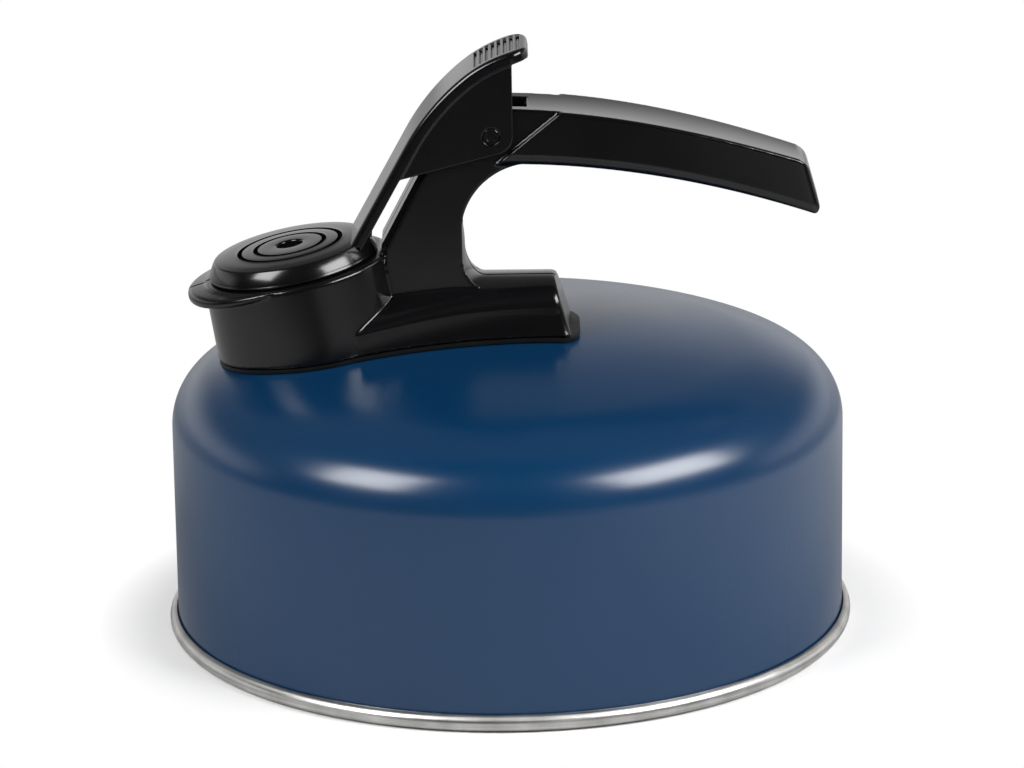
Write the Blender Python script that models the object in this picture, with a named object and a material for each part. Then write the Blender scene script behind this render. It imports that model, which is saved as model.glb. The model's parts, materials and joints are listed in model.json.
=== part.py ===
"""Whistling camp kettle: pressed shell with a rolled base, one-piece handle and
spout moulding, and a sprung lever that carries the whistle cap.

Metres, +Z up. The origin is the centre of the base, on the plane the kettle
stands on. The spout is at -X, the grip at +X, and y = 0 is the plane of symmetry.
Run with: blender --background --python part.py
"""
import math

import bmesh
import bpy
from mathutils import Matrix, Vector

# Clearances
GAP = 0.0003             # between pieces that rest on each other
PIN_CLEARANCE = 0.0001   # radial, hinge pin in its bores
INSERT_CLEARANCE = 0.00015
SCREW_CLEARANCE = 0.0003

# Shell and base
RIM_RADIUS = 0.1000
RIM_BEAD_RADIUS = 0.0025
SHELL_WALL = 0.0009
WALL_HEIGHT = 0.0610
SHOULDER_RADIUS = 0.01765
SHOULDER_TURN = 66.6     # degrees of arc from the upright wall
CROWN_RADIUS = 0.0742
CROWN_END = 81.7         # degrees, where the crown arc meets the flatter top
BASE_THICKNESS = 0.0010
SEALANT_WIDTH = 0.0014
SEALANT_HEIGHT = 0.0022

# Spout neck. Its axis leans towards -X
SPOUT_TOP_X = -0.0610
SPOUT_TOP_Z = 0.1076
SPOUT_TILT = 10.2
NECK_RADIUS_OVER_CAP = 0.0027    # at the neck's top
NECK_TAPER = 0.0008              # wider at its foot
NECK_SETBACK = 0.0008    # its wall's centre behind the spout's axis
NECK_LENGTH = 0.0360
NECK_EDGE_ROUND = 0.0010
SEAL_LAND = 0.0009       # of the neck's top inside the seal
MOUTH_CHAMFER = 0.0006
LIP_REACH = 0.0038       # how far the pouring lip stands out in front
LIP_RADIUS_OVER_NECK = 0.0006
LIP_THICKNESS = 0.0034
LIP_FALL = 0.0010        # its top slopes down by this much
LIP_INSET = 0.0001       # of its middle under the neck's top

# Saddle between the neck and the heel
SADDLE_CREST_Z = 0.1036
SADDLE_RIDGE_RISE = 0.0092   # of the skirt's ridge above the dome
HEEL_X = 0.0144
HEEL_LEAN = 13.0
HEEL_HALF_WIDTH = 0.0126     # at the ridge
SKIRT_FLARE = 0.0029         # from the ridge out to the foot
SKIRT_ROOT = 0.0060          # below the dome, trimmed off later
RIDGE_ROUND = 0.0006
SADDLE_FRONT_X = -0.0580
SADDLE_FRONT_INSET = 0.0019    # of its side inside the neck's foot
HEEL_CORNER_RADIUS = 0.0030
GASKET_THICKNESS = 0.0010
GASKET_LIP = 0.0005
GASKET_TAB = 0.0026

# Handle column and grip
PIVOT_X = -0.0035
PIVOT_Z = 0.1475
COLUMN_HALF_WIDTH = 0.0102
COLUMN_FRONT_RADIUS = 0.0115   # round the pivot
COLUMN_FRONT_SLOPE = 62.0
COLUMN_FOOT_X = -0.0340
COLUMN_ROOT = 0.0100           # how deep it runs into the saddle
HAND_ARC_RADIUS = 0.0210       # rear of the column, round the fingers
HAND_ARC_X = 0.0085
HAND_ARC_Z = 0.1182
FOOT_FILLET = 0.0064
GRIP_HALF_WIDTH = 0.0119
GRIP_END_X = 0.0868
GRIP_END_LEAN = 15.5
GRIP_TOP_Z = 0.1580            # crest of the top arc
GRIP_TOP_RADIUS = 0.2850
GRIP_TOP_CENTRE_X = -0.0129
GRIP_UNDER_RADIUS = 0.2700
GRIP_UNDER_Z = 0.1396
GRIP_UNDER_X = 0.0100
GRIP_UNDER_SLOPE = 2.8
GRIP_CROWN = 0.0029
GRIP_UNDER_ROUND = 0.0022
STEP_SLOPE = 39.2              # of the step where the grip stands proud
STEP_OFFSET = 0.0074           # of that step from the pivot
SPRING_SLOT_HALF_WIDTH = 0.0056
SPRING_SLOT_REAR = 0.0102      # behind the pivot
SLOT_REACH = 0.0300            # past the column's front and top
CHANNEL_DEPTH = 0.0012
CHANNEL_LENGTH = 0.0385

# Lever: strap, cheeks, rib and cap in one moulding
STRAP_SLOPE = 60.9
STRAP_START_X = -0.0280        # where the straight arm begins to bend
STRAP_START_Z = 0.1451
STRAP_BEND_RADIUS = 0.0669
STRAP_BEND = 22.0              # degrees
PAD_BEND_RADIUS = 0.0402
PAD_BEND = 29.2                # degrees, up to the pad's end
STRAP_HALF_WIDTH = 0.0121
STRAP_THICKNESS = 0.0034
STRAP_EDGE_ROUND = 0.0015
STRAP_FOOT = -0.0395           # along the arm, inside the cap
PAD_CORNER_RADIUS = 0.0060
PAD_END_DROP = 0.0015
CHEEK_GAP = 0.0004
CHEEK_THICKNESS = 0.0011
CHEEK_CORNER_RADIUS = 0.0054
CHEEK_CORNER_SHIFT = 0.0008    # of the corner's centre behind the pivot
CHEEK_LOWER_SLOPE = 14.2
CHEEK_REACH = 0.0120           # down the straight arm
RIB_HALF_WIDTH = 0.0022
RIB_TOP = -0.0290              # along the arm
PAD_RIB_COUNT = 8
PAD_RIB_PITCH = 0.00188
PAD_RIB_WIDTH = 0.00095
PAD_RIB_DEPTH = 0.00045
PAD_RIB_HALF_LENGTH = 0.0088
PAD_RIB_FIRST = 0.0026          # from the pad's end

# Whistle cap, measured from the spout's top along its axis
CAP_RADIUS = 0.0246
CAP_TAPER = 0.0017             # smaller at its top edge
CAP_RIM_BOTTOM = 0.0006
CAP_EDGE_HEIGHT = 0.0053
CAP_EDGE_ROUND = 0.0012
CAP_CROWN = 0.0009
CAP_WALL = 0.0018
CAP_HOLE_RADIUS = 0.0040
CAP_HOLE_CHAMFER = 0.0009
CAP_GROOVE_SPACING = 0.0048
CAP_GROOVE_INSET = 0.0077      # of the outer groove inside the top edge
CAP_GROOVE_WIDTH = 0.0007
SEAL_WIDTH = 0.0016
SEAL_THICKNESS = 0.0016
BOSS_WALL = 0.0014

# Whistle
WHISTLE_RADIUS = 0.0105
WHISTLE_WALL = 0.0005
WHISTLE_CHAMBER = 0.0026
WHISTLE_BLOW_HOLE = 0.0016
WHISTLE_RING_WIDTH = 0.0014
WHISTLE_RING_HEIGHT = 0.0009

# Hinge pin and return spring
PIN_RADIUS = 0.0024
PIN_CHAMFER = 0.0002
WIRE_RADIUS = 0.00055
COIL_RADIUS = 0.0037
COIL_TURNS = 4
COIL_HALF_LENGTH = 0.0042
COIL_LOWER_ANGLE = -75.8
COIL_UPPER_ANGLE = 20.0
LOWER_LEG = 0.0120
UPPER_LEG = 0.0160

# Fastening to the shell
SCREW_INSET = 0.0040           # of the four screws' circle outside the bore
SCREW_ANGLES = (45.0, 135.0, 225.0, 315.0)
SCREW_RADIUS = 0.00145
SCREW_HEAD_RADIUS = 0.0028
SCREW_HEAD_HEIGHT = 0.0018
SCREW_GRIP = 0.0062            # length of shank inside the insert
INSERT_RADIUS = 0.0023
INSERT_WALL = 0.0007
INSERT_LENGTH = 0.0072
SEAL_WASHER_THICKNESS = 0.0008
CLAMP_THICKNESS = 0.0012
CLAMP_MARGIN = 0.0044          # of the ring outside the screws' circle
HEEL_SCREW_X = 0.0060
HEEL_WASHER_RADIUS = 0.0065

# Facets
SHELL_STEPS = 48
CAP_STEPS = 36
SMALL_STEPS = 12
PIN_STEPS = 24

RIGHT_ANGLE = math.pi / 2
FULL_TURN = 2 * math.pi
WALL_RADIUS = RIM_RADIUS - RIM_BEAD_RADIUS
CAP_TOP_RADIUS = CAP_RADIUS - CAP_TAPER
CAP_OUTER_GROOVE = CAP_TOP_RADIUS - CAP_GROOVE_INSET
SEAL_OUTER_RADIUS = CAP_RADIUS - CAP_WALL - GAP
SEAL_INNER_RADIUS = SEAL_OUTER_RADIUS - SEAL_WIDTH
BORE_RADIUS = SEAL_INNER_RADIUS - SEAL_LAND
NECK_TOP_RADIUS = CAP_RADIUS + NECK_RADIUS_OVER_CAP
NECK_FOOT_RADIUS = NECK_TOP_RADIUS + NECK_TAPER
LIP_RADIUS = NECK_TOP_RADIUS + LIP_RADIUS_OVER_NECK
SCREW_CIRCLE_RADIUS = BORE_RADIUS + SCREW_INSET
CLAMP_OUTER_RADIUS = SCREW_CIRCLE_RADIUS + CLAMP_MARGIN
SADDLE_FRONT_HALF_WIDTH = NECK_FOOT_RADIUS - SADDLE_FRONT_INSET
PIVOT = Vector((PIVOT_X, 0, PIVOT_Z))
SPOUT_TOP = Vector((SPOUT_TOP_X, 0, SPOUT_TOP_Z))
SPOUT_FRAME = Matrix.Translation(SPOUT_TOP) @ Matrix.Rotation(-math.radians(SPOUT_TILT), 4, 'Y')
# The same frame turned half a facet, so that a cutter's corners miss those it cuts
CUT_FRAME = SPOUT_FRAME @ Matrix.Rotation(math.pi / CAP_STEPS, 4, 'Z')
FAR = 0.3                      # reach of a cutter past everything
TRIM = 0.0040                  # extra stock that a later cut takes away
SPECK = 0.00001                # a width under this counts as none


# Curves and meshes

def arc(centre_x, centre_z, radius, start, end, count):
    """Points on a circle in the x, z plane, from one angle to another in degrees."""
    points = []
    for i in range(count + 1):
        a = math.radians(start + (end - start) * i / count)
        points.append((centre_x + radius * math.cos(a), centre_z + radius * math.sin(a)))
    return points


def clean(mesh):
    """Merge doubled points, turn every face outwards."""
    bmesh.ops.remove_doubles(mesh, verts=mesh.verts, dist=1e-6)
    bmesh.ops.recalc_face_normals(mesh, faces=mesh.faces)
    return mesh


def revolve(profile, steps, frame=Matrix.Identity(4), closed=False):
    """Spin (radius, height) points round the frame's z axis. An open profile runs
    from the axis to the axis, a closed one makes a ring."""
    mesh = bmesh.new()
    verts = [mesh.verts.new((r, 0, h)) for r, h in profile]
    edges = [mesh.edges.new(pair) for pair in zip(verts, verts[1:])]
    if closed:
        edges.append(mesh.edges.new((verts[-1], verts[0])))
    bmesh.ops.spin(mesh, geom=verts + edges, cent=(0, 0, 0), axis=(0, 0, 1),
                   angle=FULL_TURN, steps=steps, use_merge=True)
    mesh.transform(frame)
    return clean(mesh)


def prism(outline, low, high, frame=Matrix.Identity(4)):
    """Extrude an (x, z) outline along y from low to high."""
    mesh = bmesh.new()
    face = mesh.faces.new([mesh.verts.new((x, low, z)) for x, z in outline])
    side = bmesh.ops.extrude_face_region(mesh, geom=[face])
    moved = [item for item in side['geom'] if isinstance(item, bmesh.types.BMVert)]
    bmesh.ops.translate(mesh, verts=moved, vec=(0, high - low, 0))
    mesh.transform(frame)
    return clean(mesh)


def plan_prism(outline, low, high):
    """Extrude an (x, y) outline upwards from low to high."""
    mesh = bmesh.new()
    face = mesh.faces.new([mesh.verts.new((x, y, low)) for x, y in outline])
    side = bmesh.ops.extrude_face_region(mesh, geom=[face])
    moved = [item for item in side['geom'] if isinstance(item, bmesh.types.BMVert)]
    bmesh.ops.translate(mesh, verts=moved, vec=(0, 0, high - low))
    return clean(mesh)


def loft(sections):
    """Join closed sections of equal length into one solid with flat ends."""
    mesh = bmesh.new()
    rings = [[mesh.verts.new(point) for point in section] for section in sections]
    count = len(rings[0])
    for ring, after in zip(rings, rings[1:]):
        for i in range(count):
            j = (i + 1) % count
            mesh.faces.new((ring[i], ring[j], after[j], after[i]))
    mesh.faces.new(rings[0])
    mesh.faces.new(rings[-1])
    bmesh.ops.triangulate(mesh, faces=mesh.faces)
    return clean(mesh)


def rod(radius, low, high, steps, frame):
    """A plain round bar along the frame's z axis."""
    return revolve([(0, low), (radius, low), (radius, high), (0, high)], steps, frame)


def tube(inner, outer, low, high, steps, frame):
    """A plain ring along the frame's z axis."""
    profile = [(inner, low), (outer, low), (outer, high), (inner, high)]
    return revolve(profile, steps, frame, closed=True)


# Objects

def clear_scene():
    for item in list(bpy.data.objects):
        bpy.data.objects.remove(item, do_unlink=True)


def material(name, colour, roughness, metallic):
    made = bpy.data.materials.get(name)
    if made is None:
        made = bpy.data.materials.new(name)
        made.use_nodes = True
        shader = made.node_tree.nodes['Principled BSDF']
        shader.inputs['Base Color'].default_value = (*colour, 1)
        shader.inputs['Roughness'].default_value = roughness
        shader.inputs['Metallic'].default_value = metallic
    return made


def black_plastic():
    return material('black_plastic', (0.012, 0.012, 0.013), 0.25, 0)


def blue_paint():
    return material('blue_paint', (0.006, 0.045, 0.12), 0.35, 0.1)


def bare_aluminium():
    return material('bare_aluminium', (0.62, 0.61, 0.60), 0.35, 1)


def steel():
    return material('steel', (0.55, 0.55, 0.56), 0.3, 1)


def brass():
    return material('brass', (0.75, 0.55, 0.25), 0.3, 1)


def black_silicone():
    return material('black_silicone', (0.02, 0.02, 0.02), 0.6, 0)


def grey_silicone():
    return material('grey_silicone', (0.18, 0.18, 0.18), 0.6, 0)


def make(name, mesh, look):
    """Put a mesh into the scene as a named object, shaded smooth up to 35 degrees."""
    data = bpy.data.meshes.new(name)
    mesh.to_mesh(data)
    mesh.free()
    piece = bpy.data.objects.new(name, data)
    bpy.context.scene.collection.objects.link(piece)
    if look is not None:
        data.materials.append(look)
    data.shade_smooth()
    data.set_sharp_from_angle(angle=math.radians(35))
    return piece


def combine(piece, meshes, operation):
    """Apply one exact Boolean after another to a piece."""
    for mesh in meshes:
        tool = make('cutter', mesh, None)
        step = piece.modifiers.new('cut', 'BOOLEAN')
        step.operation = operation
        step.solver = 'EXACT'
        step.object = tool
        graph = bpy.context.evaluated_depsgraph_get()
        result = bpy.data.meshes.new_from_object(piece.evaluated_get(graph))
        piece.modifiers.clear()
        old = piece.data
        piece.data = result
        result.name = piece.name
        bpy.data.meshes.remove(old)
        bpy.data.objects.remove(tool, do_unlink=True)
    piece.data.shade_smooth()
    piece.data.set_sharp_from_angle(angle=math.radians(35))
    return piece


def unite(piece, *meshes):
    return combine(piece, meshes, 'UNION')


def cut(piece, *meshes):
    return combine(piece, meshes, 'DIFFERENCE')


def keep(piece, *meshes):
    return combine(piece, meshes, 'INTERSECT')


# The dome, as three tangent arcs over the upright wall

def dome_arcs(offset):
    """Centre, radius and angles of each arc, moved outwards by offset."""
    shoulder_r = WALL_RADIUS - SHOULDER_RADIUS
    turn = math.radians(SHOULDER_TURN)
    end = math.radians(CROWN_END)
    join_r = shoulder_r + SHOULDER_RADIUS * math.cos(turn)
    join_z = WALL_HEIGHT + SHOULDER_RADIUS * math.sin(turn)
    crown_r = join_r - CROWN_RADIUS * math.cos(turn)
    crown_z = join_z - CROWN_RADIUS * math.sin(turn)
    last_r = crown_r + CROWN_RADIUS * math.cos(end)
    last_z = crown_z + CROWN_RADIUS * math.sin(end)
    top_radius = last_r / math.cos(end)
    top_z = last_z - top_radius * math.sin(end)
    return [(shoulder_r, WALL_HEIGHT, SHOULDER_RADIUS + offset, 0, SHOULDER_TURN, 5),
            (crown_r, crown_z, CROWN_RADIUS + offset, SHOULDER_TURN, CROWN_END, 2),
            (0, top_z, top_radius + offset, CROWN_END, 90, 3)]


def dome_profile(offset):
    """Points from the top of the wall to the middle of the dome."""
    points = [(WALL_RADIUS + offset, WALL_HEIGHT)]
    for centre_r, centre_z, radius, start, end, count in dome_arcs(offset):
        points += arc(centre_r, centre_z, radius, start, end, count)[1:]
    points[-1] = (0, points[-1][1])
    return points


def dome_height(r, offset=0.0):
    """Height of the dome at radius r."""
    for centre_r, centre_z, radius, start, end, _ in dome_arcs(offset):
        if r >= centre_r + radius * math.cos(math.radians(end)):
            reach = min(r - centre_r, radius)
            return centre_z + math.sqrt(radius ** 2 - reach ** 2)
    return 0.0


def dome_solid(offset, floor):
    """Everything under the dome, down to floor."""
    profile = [(0, floor), (WALL_RADIUS + offset, floor)] + dome_profile(offset)
    return revolve(profile, SHELL_STEPS)


def dome_layer(low, high):
    """A skin that follows the dome between two offsets."""
    edge = WALL_HEIGHT
    outer = [p for p in dome_profile(high) if p[1] >= edge]
    inner = [p for p in dome_profile(low) if p[1] >= edge]
    return revolve(outer[::-1] + inner, SHELL_STEPS)


def axis_depth(frame, offset):
    """How far along a frame's z axis the dome surface lies."""
    low, high = -2 * NECK_LENGTH, NECK_LENGTH
    for _ in range(50):
        middle = (low + high) / 2
        point = frame @ Vector((0, 0, middle))
        if point.z > dome_height(math.hypot(point.x, point.y), offset):
            high = middle
        else:
            low = middle
    return (low + high) / 2


def spout_point(forward, height):
    """World x and z of a place in front of the spout's axis, in its plane of symmetry."""
    point = SPOUT_FRAME @ Vector((-forward, 0, height))
    return point.x, point.z


def screw_frames():
    """One frame for each fixing screw, its z axis along the screw."""
    frames = []
    for angle in SCREW_ANGLES:
        a = math.radians(angle)
        place = Vector((SCREW_CIRCLE_RADIUS * math.cos(a), SCREW_CIRCLE_RADIUS * math.sin(a), 0))
        frames.append(SPOUT_FRAME @ Matrix.Translation(place))
    frames.append(Matrix.Translation((HEEL_SCREW_X, 0, SADDLE_CREST_Z)))
    return frames


# Shell and base

def kettle_shell():
    foot = BASE_THICKNESS + GAP
    outer = [(WALL_RADIUS, foot)] + dome_profile(0)
    inner = [(WALL_RADIUS - SHELL_WALL, foot)] + dome_profile(-SHELL_WALL)
    piece = make('kettle_shell', revolve(outer[::-1] + inner, SHELL_STEPS), blue_paint())
    cut(piece, rod(BORE_RADIUS + GAP, -FAR / 4, FAR / 4, CAP_STEPS, CUT_FRAME))
    for frame in screw_frames():
        cut(piece, rod(SCREW_RADIUS + SCREW_CLEARANCE, -NECK_LENGTH, 0, SMALL_STEPS, frame))
    return piece


def base_plate():
    """Flat disc whose edge is rolled up outside the foot of the wall."""
    inside = WALL_RADIUS + GAP
    bead = arc(WALL_RADIUS, RIM_BEAD_RADIUS, RIM_BEAD_RADIUS, -90, 78, 8)
    profile = [(0, 0)] + bead + [(inside, 2 * RIM_BEAD_RADIUS - GAP), (inside, BASE_THICKNESS)]
    profile.append((0, BASE_THICKNESS))
    return make('base_plate', revolve(profile, SHELL_STEPS), bare_aluminium())


def seam_sealant():
    """Fillet of sealing compound in the corner between the base and the wall."""
    outer = WALL_RADIUS - SHELL_WALL - GAP
    floor = BASE_THICKNESS + GAP
    profile = [(outer - SEALANT_WIDTH, floor), (outer, floor), (outer, floor + SEALANT_HEIGHT)]
    return make('seam_sealant', revolve(profile, SHELL_STEPS, closed=True), grey_silicone())


# Handle moulding

def grip_crest(x):
    reach = x - GRIP_TOP_CENTRE_X
    return GRIP_TOP_Z - GRIP_TOP_RADIUS + math.sqrt(GRIP_TOP_RADIUS ** 2 - reach ** 2)


def grip_under(x):
    start = math.radians(GRIP_UNDER_SLOPE)
    reach = x - GRIP_UNDER_X + GRIP_UNDER_RADIUS * math.sin(start)
    drop = GRIP_UNDER_RADIUS * math.cos(start) - math.sqrt(GRIP_UNDER_RADIUS ** 2 - reach ** 2)
    return GRIP_UNDER_Z - drop


def crown_drop(y):
    """How far the rounded top has fallen at y."""
    return GRIP_CROWN * (y / GRIP_HALF_WIDTH) ** 2


def grip_section(x, lean):
    """Section of the grip: crowned top, flat sides, rounded lower edges."""
    top = grip_crest(x)
    under = grip_under(x)
    right = []
    for share in (0, 0.35, 0.7, 1):
        y = share * GRIP_HALF_WIDTH
        right.append((y, top - crown_drop(y)))
    corner = arc(GRIP_HALF_WIDTH - GRIP_UNDER_ROUND, under + GRIP_UNDER_ROUND,
                 GRIP_UNDER_ROUND, 0, -90, 3)
    right += corner
    left = [(-y, z) for y, z in right[::-1] if y > 0]
    spread = math.tan(math.radians(lean))
    return [Vector((x + (top - z) * spread, y, z)) for y, z in right + left]


def front_face():
    """Side outline of the handle's front, from the saddle up and round the pivot."""
    slope = math.radians(COLUMN_FRONT_SLOPE)
    normal = COLUMN_FRONT_SLOPE + 90
    head = arc(PIVOT_X, PIVOT_Z, COLUMN_FRONT_RADIUS, normal, 100, 10)
    tangent_x, tangent_z = head[0]
    foot_z = tangent_z - (tangent_x - COLUMN_FOOT_X) * math.tan(slope)
    return [(COLUMN_FOOT_X, SADDLE_CREST_Z - COLUMN_ROOT), (COLUMN_FOOT_X, foot_z)] + head


def grip_bar():
    """The grip and the top of the column, ended by a leaning flat face."""
    start = PIVOT_X - COLUMN_FRONT_RADIUS - TRIM
    stations = 17
    sections = []
    for i in range(stations + 1):
        share = i / stations
        x = start + (GRIP_END_X - start) * share
        sections.append(grip_section(x, GRIP_END_LEAN * share ** 2))
    piece = make('grip_bar', loft(sections), None)
    outline = front_face() + [(FAR, PIVOT_Z + FAR), (FAR, SADDLE_CREST_Z)]
    keep(piece, prism(outline, -2 * GRIP_HALF_WIDTH, 2 * GRIP_HALF_WIDTH))
    return piece


def hinge_recess(side):
    """Space beside the pivot, where the lever's cheek turns."""
    slope = math.radians(STEP_SLOPE)
    along = Vector((math.cos(slope), 0, math.sin(slope)))
    across = Vector((math.sin(slope), 0, -math.cos(slope)))
    on_step = PIVOT + across * STEP_OFFSET
    low = on_step - along * FAR / 4
    high = on_step + along * FAR / 4
    outline = [(low.x, low.z), (high.x, high.z), (low.x, high.z)]
    edges = sorted((side * COLUMN_HALF_WIDTH, side * 2 * GRIP_HALF_WIDTH))
    return prism(outline, edges[0], edges[1])


def column():
    """The upright between the saddle and the grip."""
    front = front_face()[:4]
    rear = arc(HAND_ARC_X, HAND_ARC_Z, HAND_ARC_RADIUS, 90, 180, 12)
    back_x = HAND_ARC_X - HAND_ARC_RADIUS
    fillet = arc(back_x + FOOT_FILLET, SADDLE_CREST_Z + FOOT_FILLET, FOOT_FILLET, 180, 265, 5)
    outline = front + [(HAND_ARC_X, front[-1][1])] + rear + fillet
    outline.append((back_x + FOOT_FILLET, SADDLE_CREST_Z - COLUMN_ROOT))
    return prism(outline, -COLUMN_HALF_WIDTH, COLUMN_HALF_WIDTH)


def saddle_half_width(x):
    """Half-width of the saddle at its ridge, wide at the neck and narrow at the heel."""
    share = max(HEEL_X - x, 0) / (HEEL_X - SADDLE_FRONT_X)
    swell = share ** 1.6
    return HEEL_HALF_WIDTH + (SADDLE_FRONT_HALF_WIDTH - HEEL_HALF_WIDTH) * swell


def saddle_section(x, lean):
    """Loaf-shaped section with a ridge low on its flank and a flared skirt."""
    ridge_y = saddle_half_width(x)
    foot_y = ridge_y + SKIRT_FLARE
    dome_z = dome_height(math.hypot(x, foot_y))
    ridge_z = dome_z + SADDLE_RIDGE_RISE
    rise = SADDLE_CREST_Z - ridge_z
    right = []
    for angle in (90, 72, 54, 37, 20, 5):
        a = math.radians(angle)
        right.append((ridge_y * math.cos(a) ** 0.8, ridge_z + rise * math.sin(a) ** 0.75))
    right[0] = (0, SADDLE_CREST_Z)
    right.append((ridge_y + RIDGE_ROUND / 2, ridge_z - RIDGE_ROUND))
    right.append((foot_y, dome_z))
    right.append((foot_y, dome_z - SKIRT_ROOT))
    left = [(-y, z) for y, z in right[::-1] if y > 0]
    spread = math.tan(math.radians(lean))
    return [Vector((x + (SADDLE_CREST_Z - z) * spread, y, z)) for y, z in right + left]


def saddle():
    stations = 12
    sections = []
    length = HEEL_X - SADDLE_FRONT_X
    for i in range(stations + 1):
        share = i / stations
        sections.append(saddle_section(SADDLE_FRONT_X + length * share, HEEL_LEAN * share ** 4))
    return loft(sections)


def neck():
    """Tapered spout neck, closed until the bore is cut."""
    rounding = NECK_EDGE_ROUND
    top = arc(NECK_TOP_RADIUS - rounding, -rounding, rounding, 0, 90, 3)
    profile = [(0, -NECK_LENGTH), (NECK_FOOT_RADIUS, -NECK_LENGTH)] + top + [(0, 0)]
    return revolve(profile, CAP_STEPS, SPOUT_FRAME @ Matrix.Translation((NECK_SETBACK, 0, 0)))


def pouring_lip():
    """Disc set forward of the neck, so that it overhangs the front only."""
    frame = SPOUT_FRAME @ Matrix.Translation((-LIP_REACH, 0, 0))
    rounding = LIP_THICKNESS * 0.4
    edge = LIP_RADIUS - rounding
    upper = arc(edge, -LIP_FALL - rounding, rounding, 70, 0, 3)
    lower = arc(edge, -LIP_THICKNESS - LIP_FALL + rounding, rounding, 0, -90, 3)
    profile = [(0, -LIP_INSET), (SEAL_INNER_RADIUS, -LIP_INSET)] + upper + lower
    profile.append((0, -LIP_THICKNESS - LIP_FALL))
    return revolve(profile, CAP_STEPS, frame)


def mouth_cutter():
    chamfer = MOUTH_CHAMFER
    profile = [(0, -2 * NECK_LENGTH), (BORE_RADIUS, -2 * NECK_LENGTH), (BORE_RADIUS, -chamfer),
               (BORE_RADIUS + 2 * chamfer, chamfer), (0, chamfer)]
    return revolve(profile, CAP_STEPS, CUT_FRAME)


def spring_floor_point(reach):
    """A point on the slot floor, reach in front of the place under the pivot."""
    a = math.radians(COIL_LOWER_ANGLE)
    below = COIL_RADIUS + WIRE_RADIUS + GAP
    return (PIVOT_X + below * math.cos(a) + reach * math.sin(a),
            PIVOT_Z + below * math.sin(a) - reach * math.cos(a))


def spring_slot():
    """Slot in the column's head for the spring, open at the top and the front."""
    rear = PIVOT_X + SPRING_SLOT_REAR
    front_floor = spring_floor_point(SLOT_REACH)
    rear_reach = -(rear - spring_floor_point(0)[0]) / math.cos(math.radians(90 + COIL_LOWER_ANGLE))
    outline = [spring_floor_point(rear_reach), (rear, PIVOT_Z + SLOT_REACH)]
    outline += [(front_floor[0], PIVOT_Z + SLOT_REACH), front_floor]
    return prism(outline, -SPRING_SLOT_HALF_WIDTH, SPRING_SLOT_HALF_WIDTH)


def front_channel():
    """Shallow channel down the column's front face."""
    slope = math.radians(COLUMN_FRONT_SLOPE)
    along = Vector((math.cos(slope), 0, math.sin(slope)))
    out = Vector((-math.sin(slope), 0, math.cos(slope)))
    floor = PIVOT + out * (COLUMN_FRONT_RADIUS - CHANNEL_DEPTH)
    low = floor - along * CHANNEL_LENGTH
    high = floor + along * CHANNEL_DEPTH
    corners = [low, high, high + out * TRIM, low + out * TRIM]
    outline = [(p.x, p.z) for p in corners]
    return prism(outline, -SPRING_SLOT_HALF_WIDTH, SPRING_SLOT_HALF_WIDTH)


def pin_frame():
    return Matrix.Translation(PIVOT) @ Matrix.Rotation(RIGHT_ANGLE, 4, 'X')


def pin_bore(half_length):
    radius = PIN_RADIUS + PIN_CLEARANCE
    return rod(radius, -half_length, half_length, PIN_STEPS, pin_frame())


def moulding_offset():
    """Height of the moulding's underside above the shell."""
    return GASKET_THICKNESS + 2 * GAP


def insert_foot(frame):
    """Where an insert starts, just above the moulding's underside."""
    return axis_depth(frame, moulding_offset()) + GAP


def take_mesh(piece):
    """Turn a helper object back into a loose mesh."""
    mesh = bmesh.new()
    mesh.from_mesh(piece.data)
    bpy.data.objects.remove(piece, do_unlink=True)
    return mesh


def handle_bar():
    """Column and grip in one, with the hinge's recesses and the spring's slot."""
    piece = grip_bar()
    cut(piece, hinge_recess(1), hinge_recess(-1))
    unite(piece, column())
    cut(piece, spring_slot(), front_channel(), pin_bore(COLUMN_HALF_WIDTH + GAP))
    return take_mesh(piece)


def handle_moulding():
    piece = make('handle_moulding', neck(), black_plastic())
    unite(piece, pouring_lip(), saddle(), handle_bar())
    cut(piece, dome_solid(moulding_offset(), WALL_HEIGHT / 2), mouth_cutter())
    for frame in screw_frames():
        foot = axis_depth(frame, 0)
        top = insert_foot(frame) + INSERT_LENGTH + GAP
        hole = rod(INSERT_RADIUS + INSERT_CLEARANCE, foot, top, SMALL_STEPS, frame)
        cut(piece, hole)
    return piece


# Seal under the moulding

def footprint(extra, tab):
    """Plan outline of the moulding's foot, grown by extra, with a tab at the heel."""
    centre_x = spout_point(-NECK_SETBACK, axis_depth(SPOUT_FRAME, 0))[0]
    radius = NECK_FOOT_RADIUS + extra
    heel_x = HEEL_X + (SADDLE_CREST_Z - dome_height(HEEL_X)) * math.tan(math.radians(HEEL_LEAN))
    last_x = heel_x + extra + tab
    front_x = centre_x - radius
    half = []
    count = 30
    for i in range(count + 1):
        turn = math.pi * (1 - i / count)
        x = (front_x + last_x) / 2 + (last_x - front_x) / 2 * math.cos(turn)
        ring = max(radius ** 2 - (x - centre_x) ** 2, 0) ** 0.5
        width = 0.0
        if x > centre_x:
            width = saddle_half_width(min(x, HEEL_X)) + SKIRT_FLARE + extra
            corner = HEEL_CORNER_RADIUS + tab
            past = max(x - (last_x - corner), 0)
            width -= corner - math.sqrt(max(corner ** 2 - past ** 2, 0))
        half.append((x, max(ring, width)))
    outline = [p for p in half if p[1] > SPECK]
    return outline + [(x, -y) for x, y in outline[::-1]]


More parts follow.
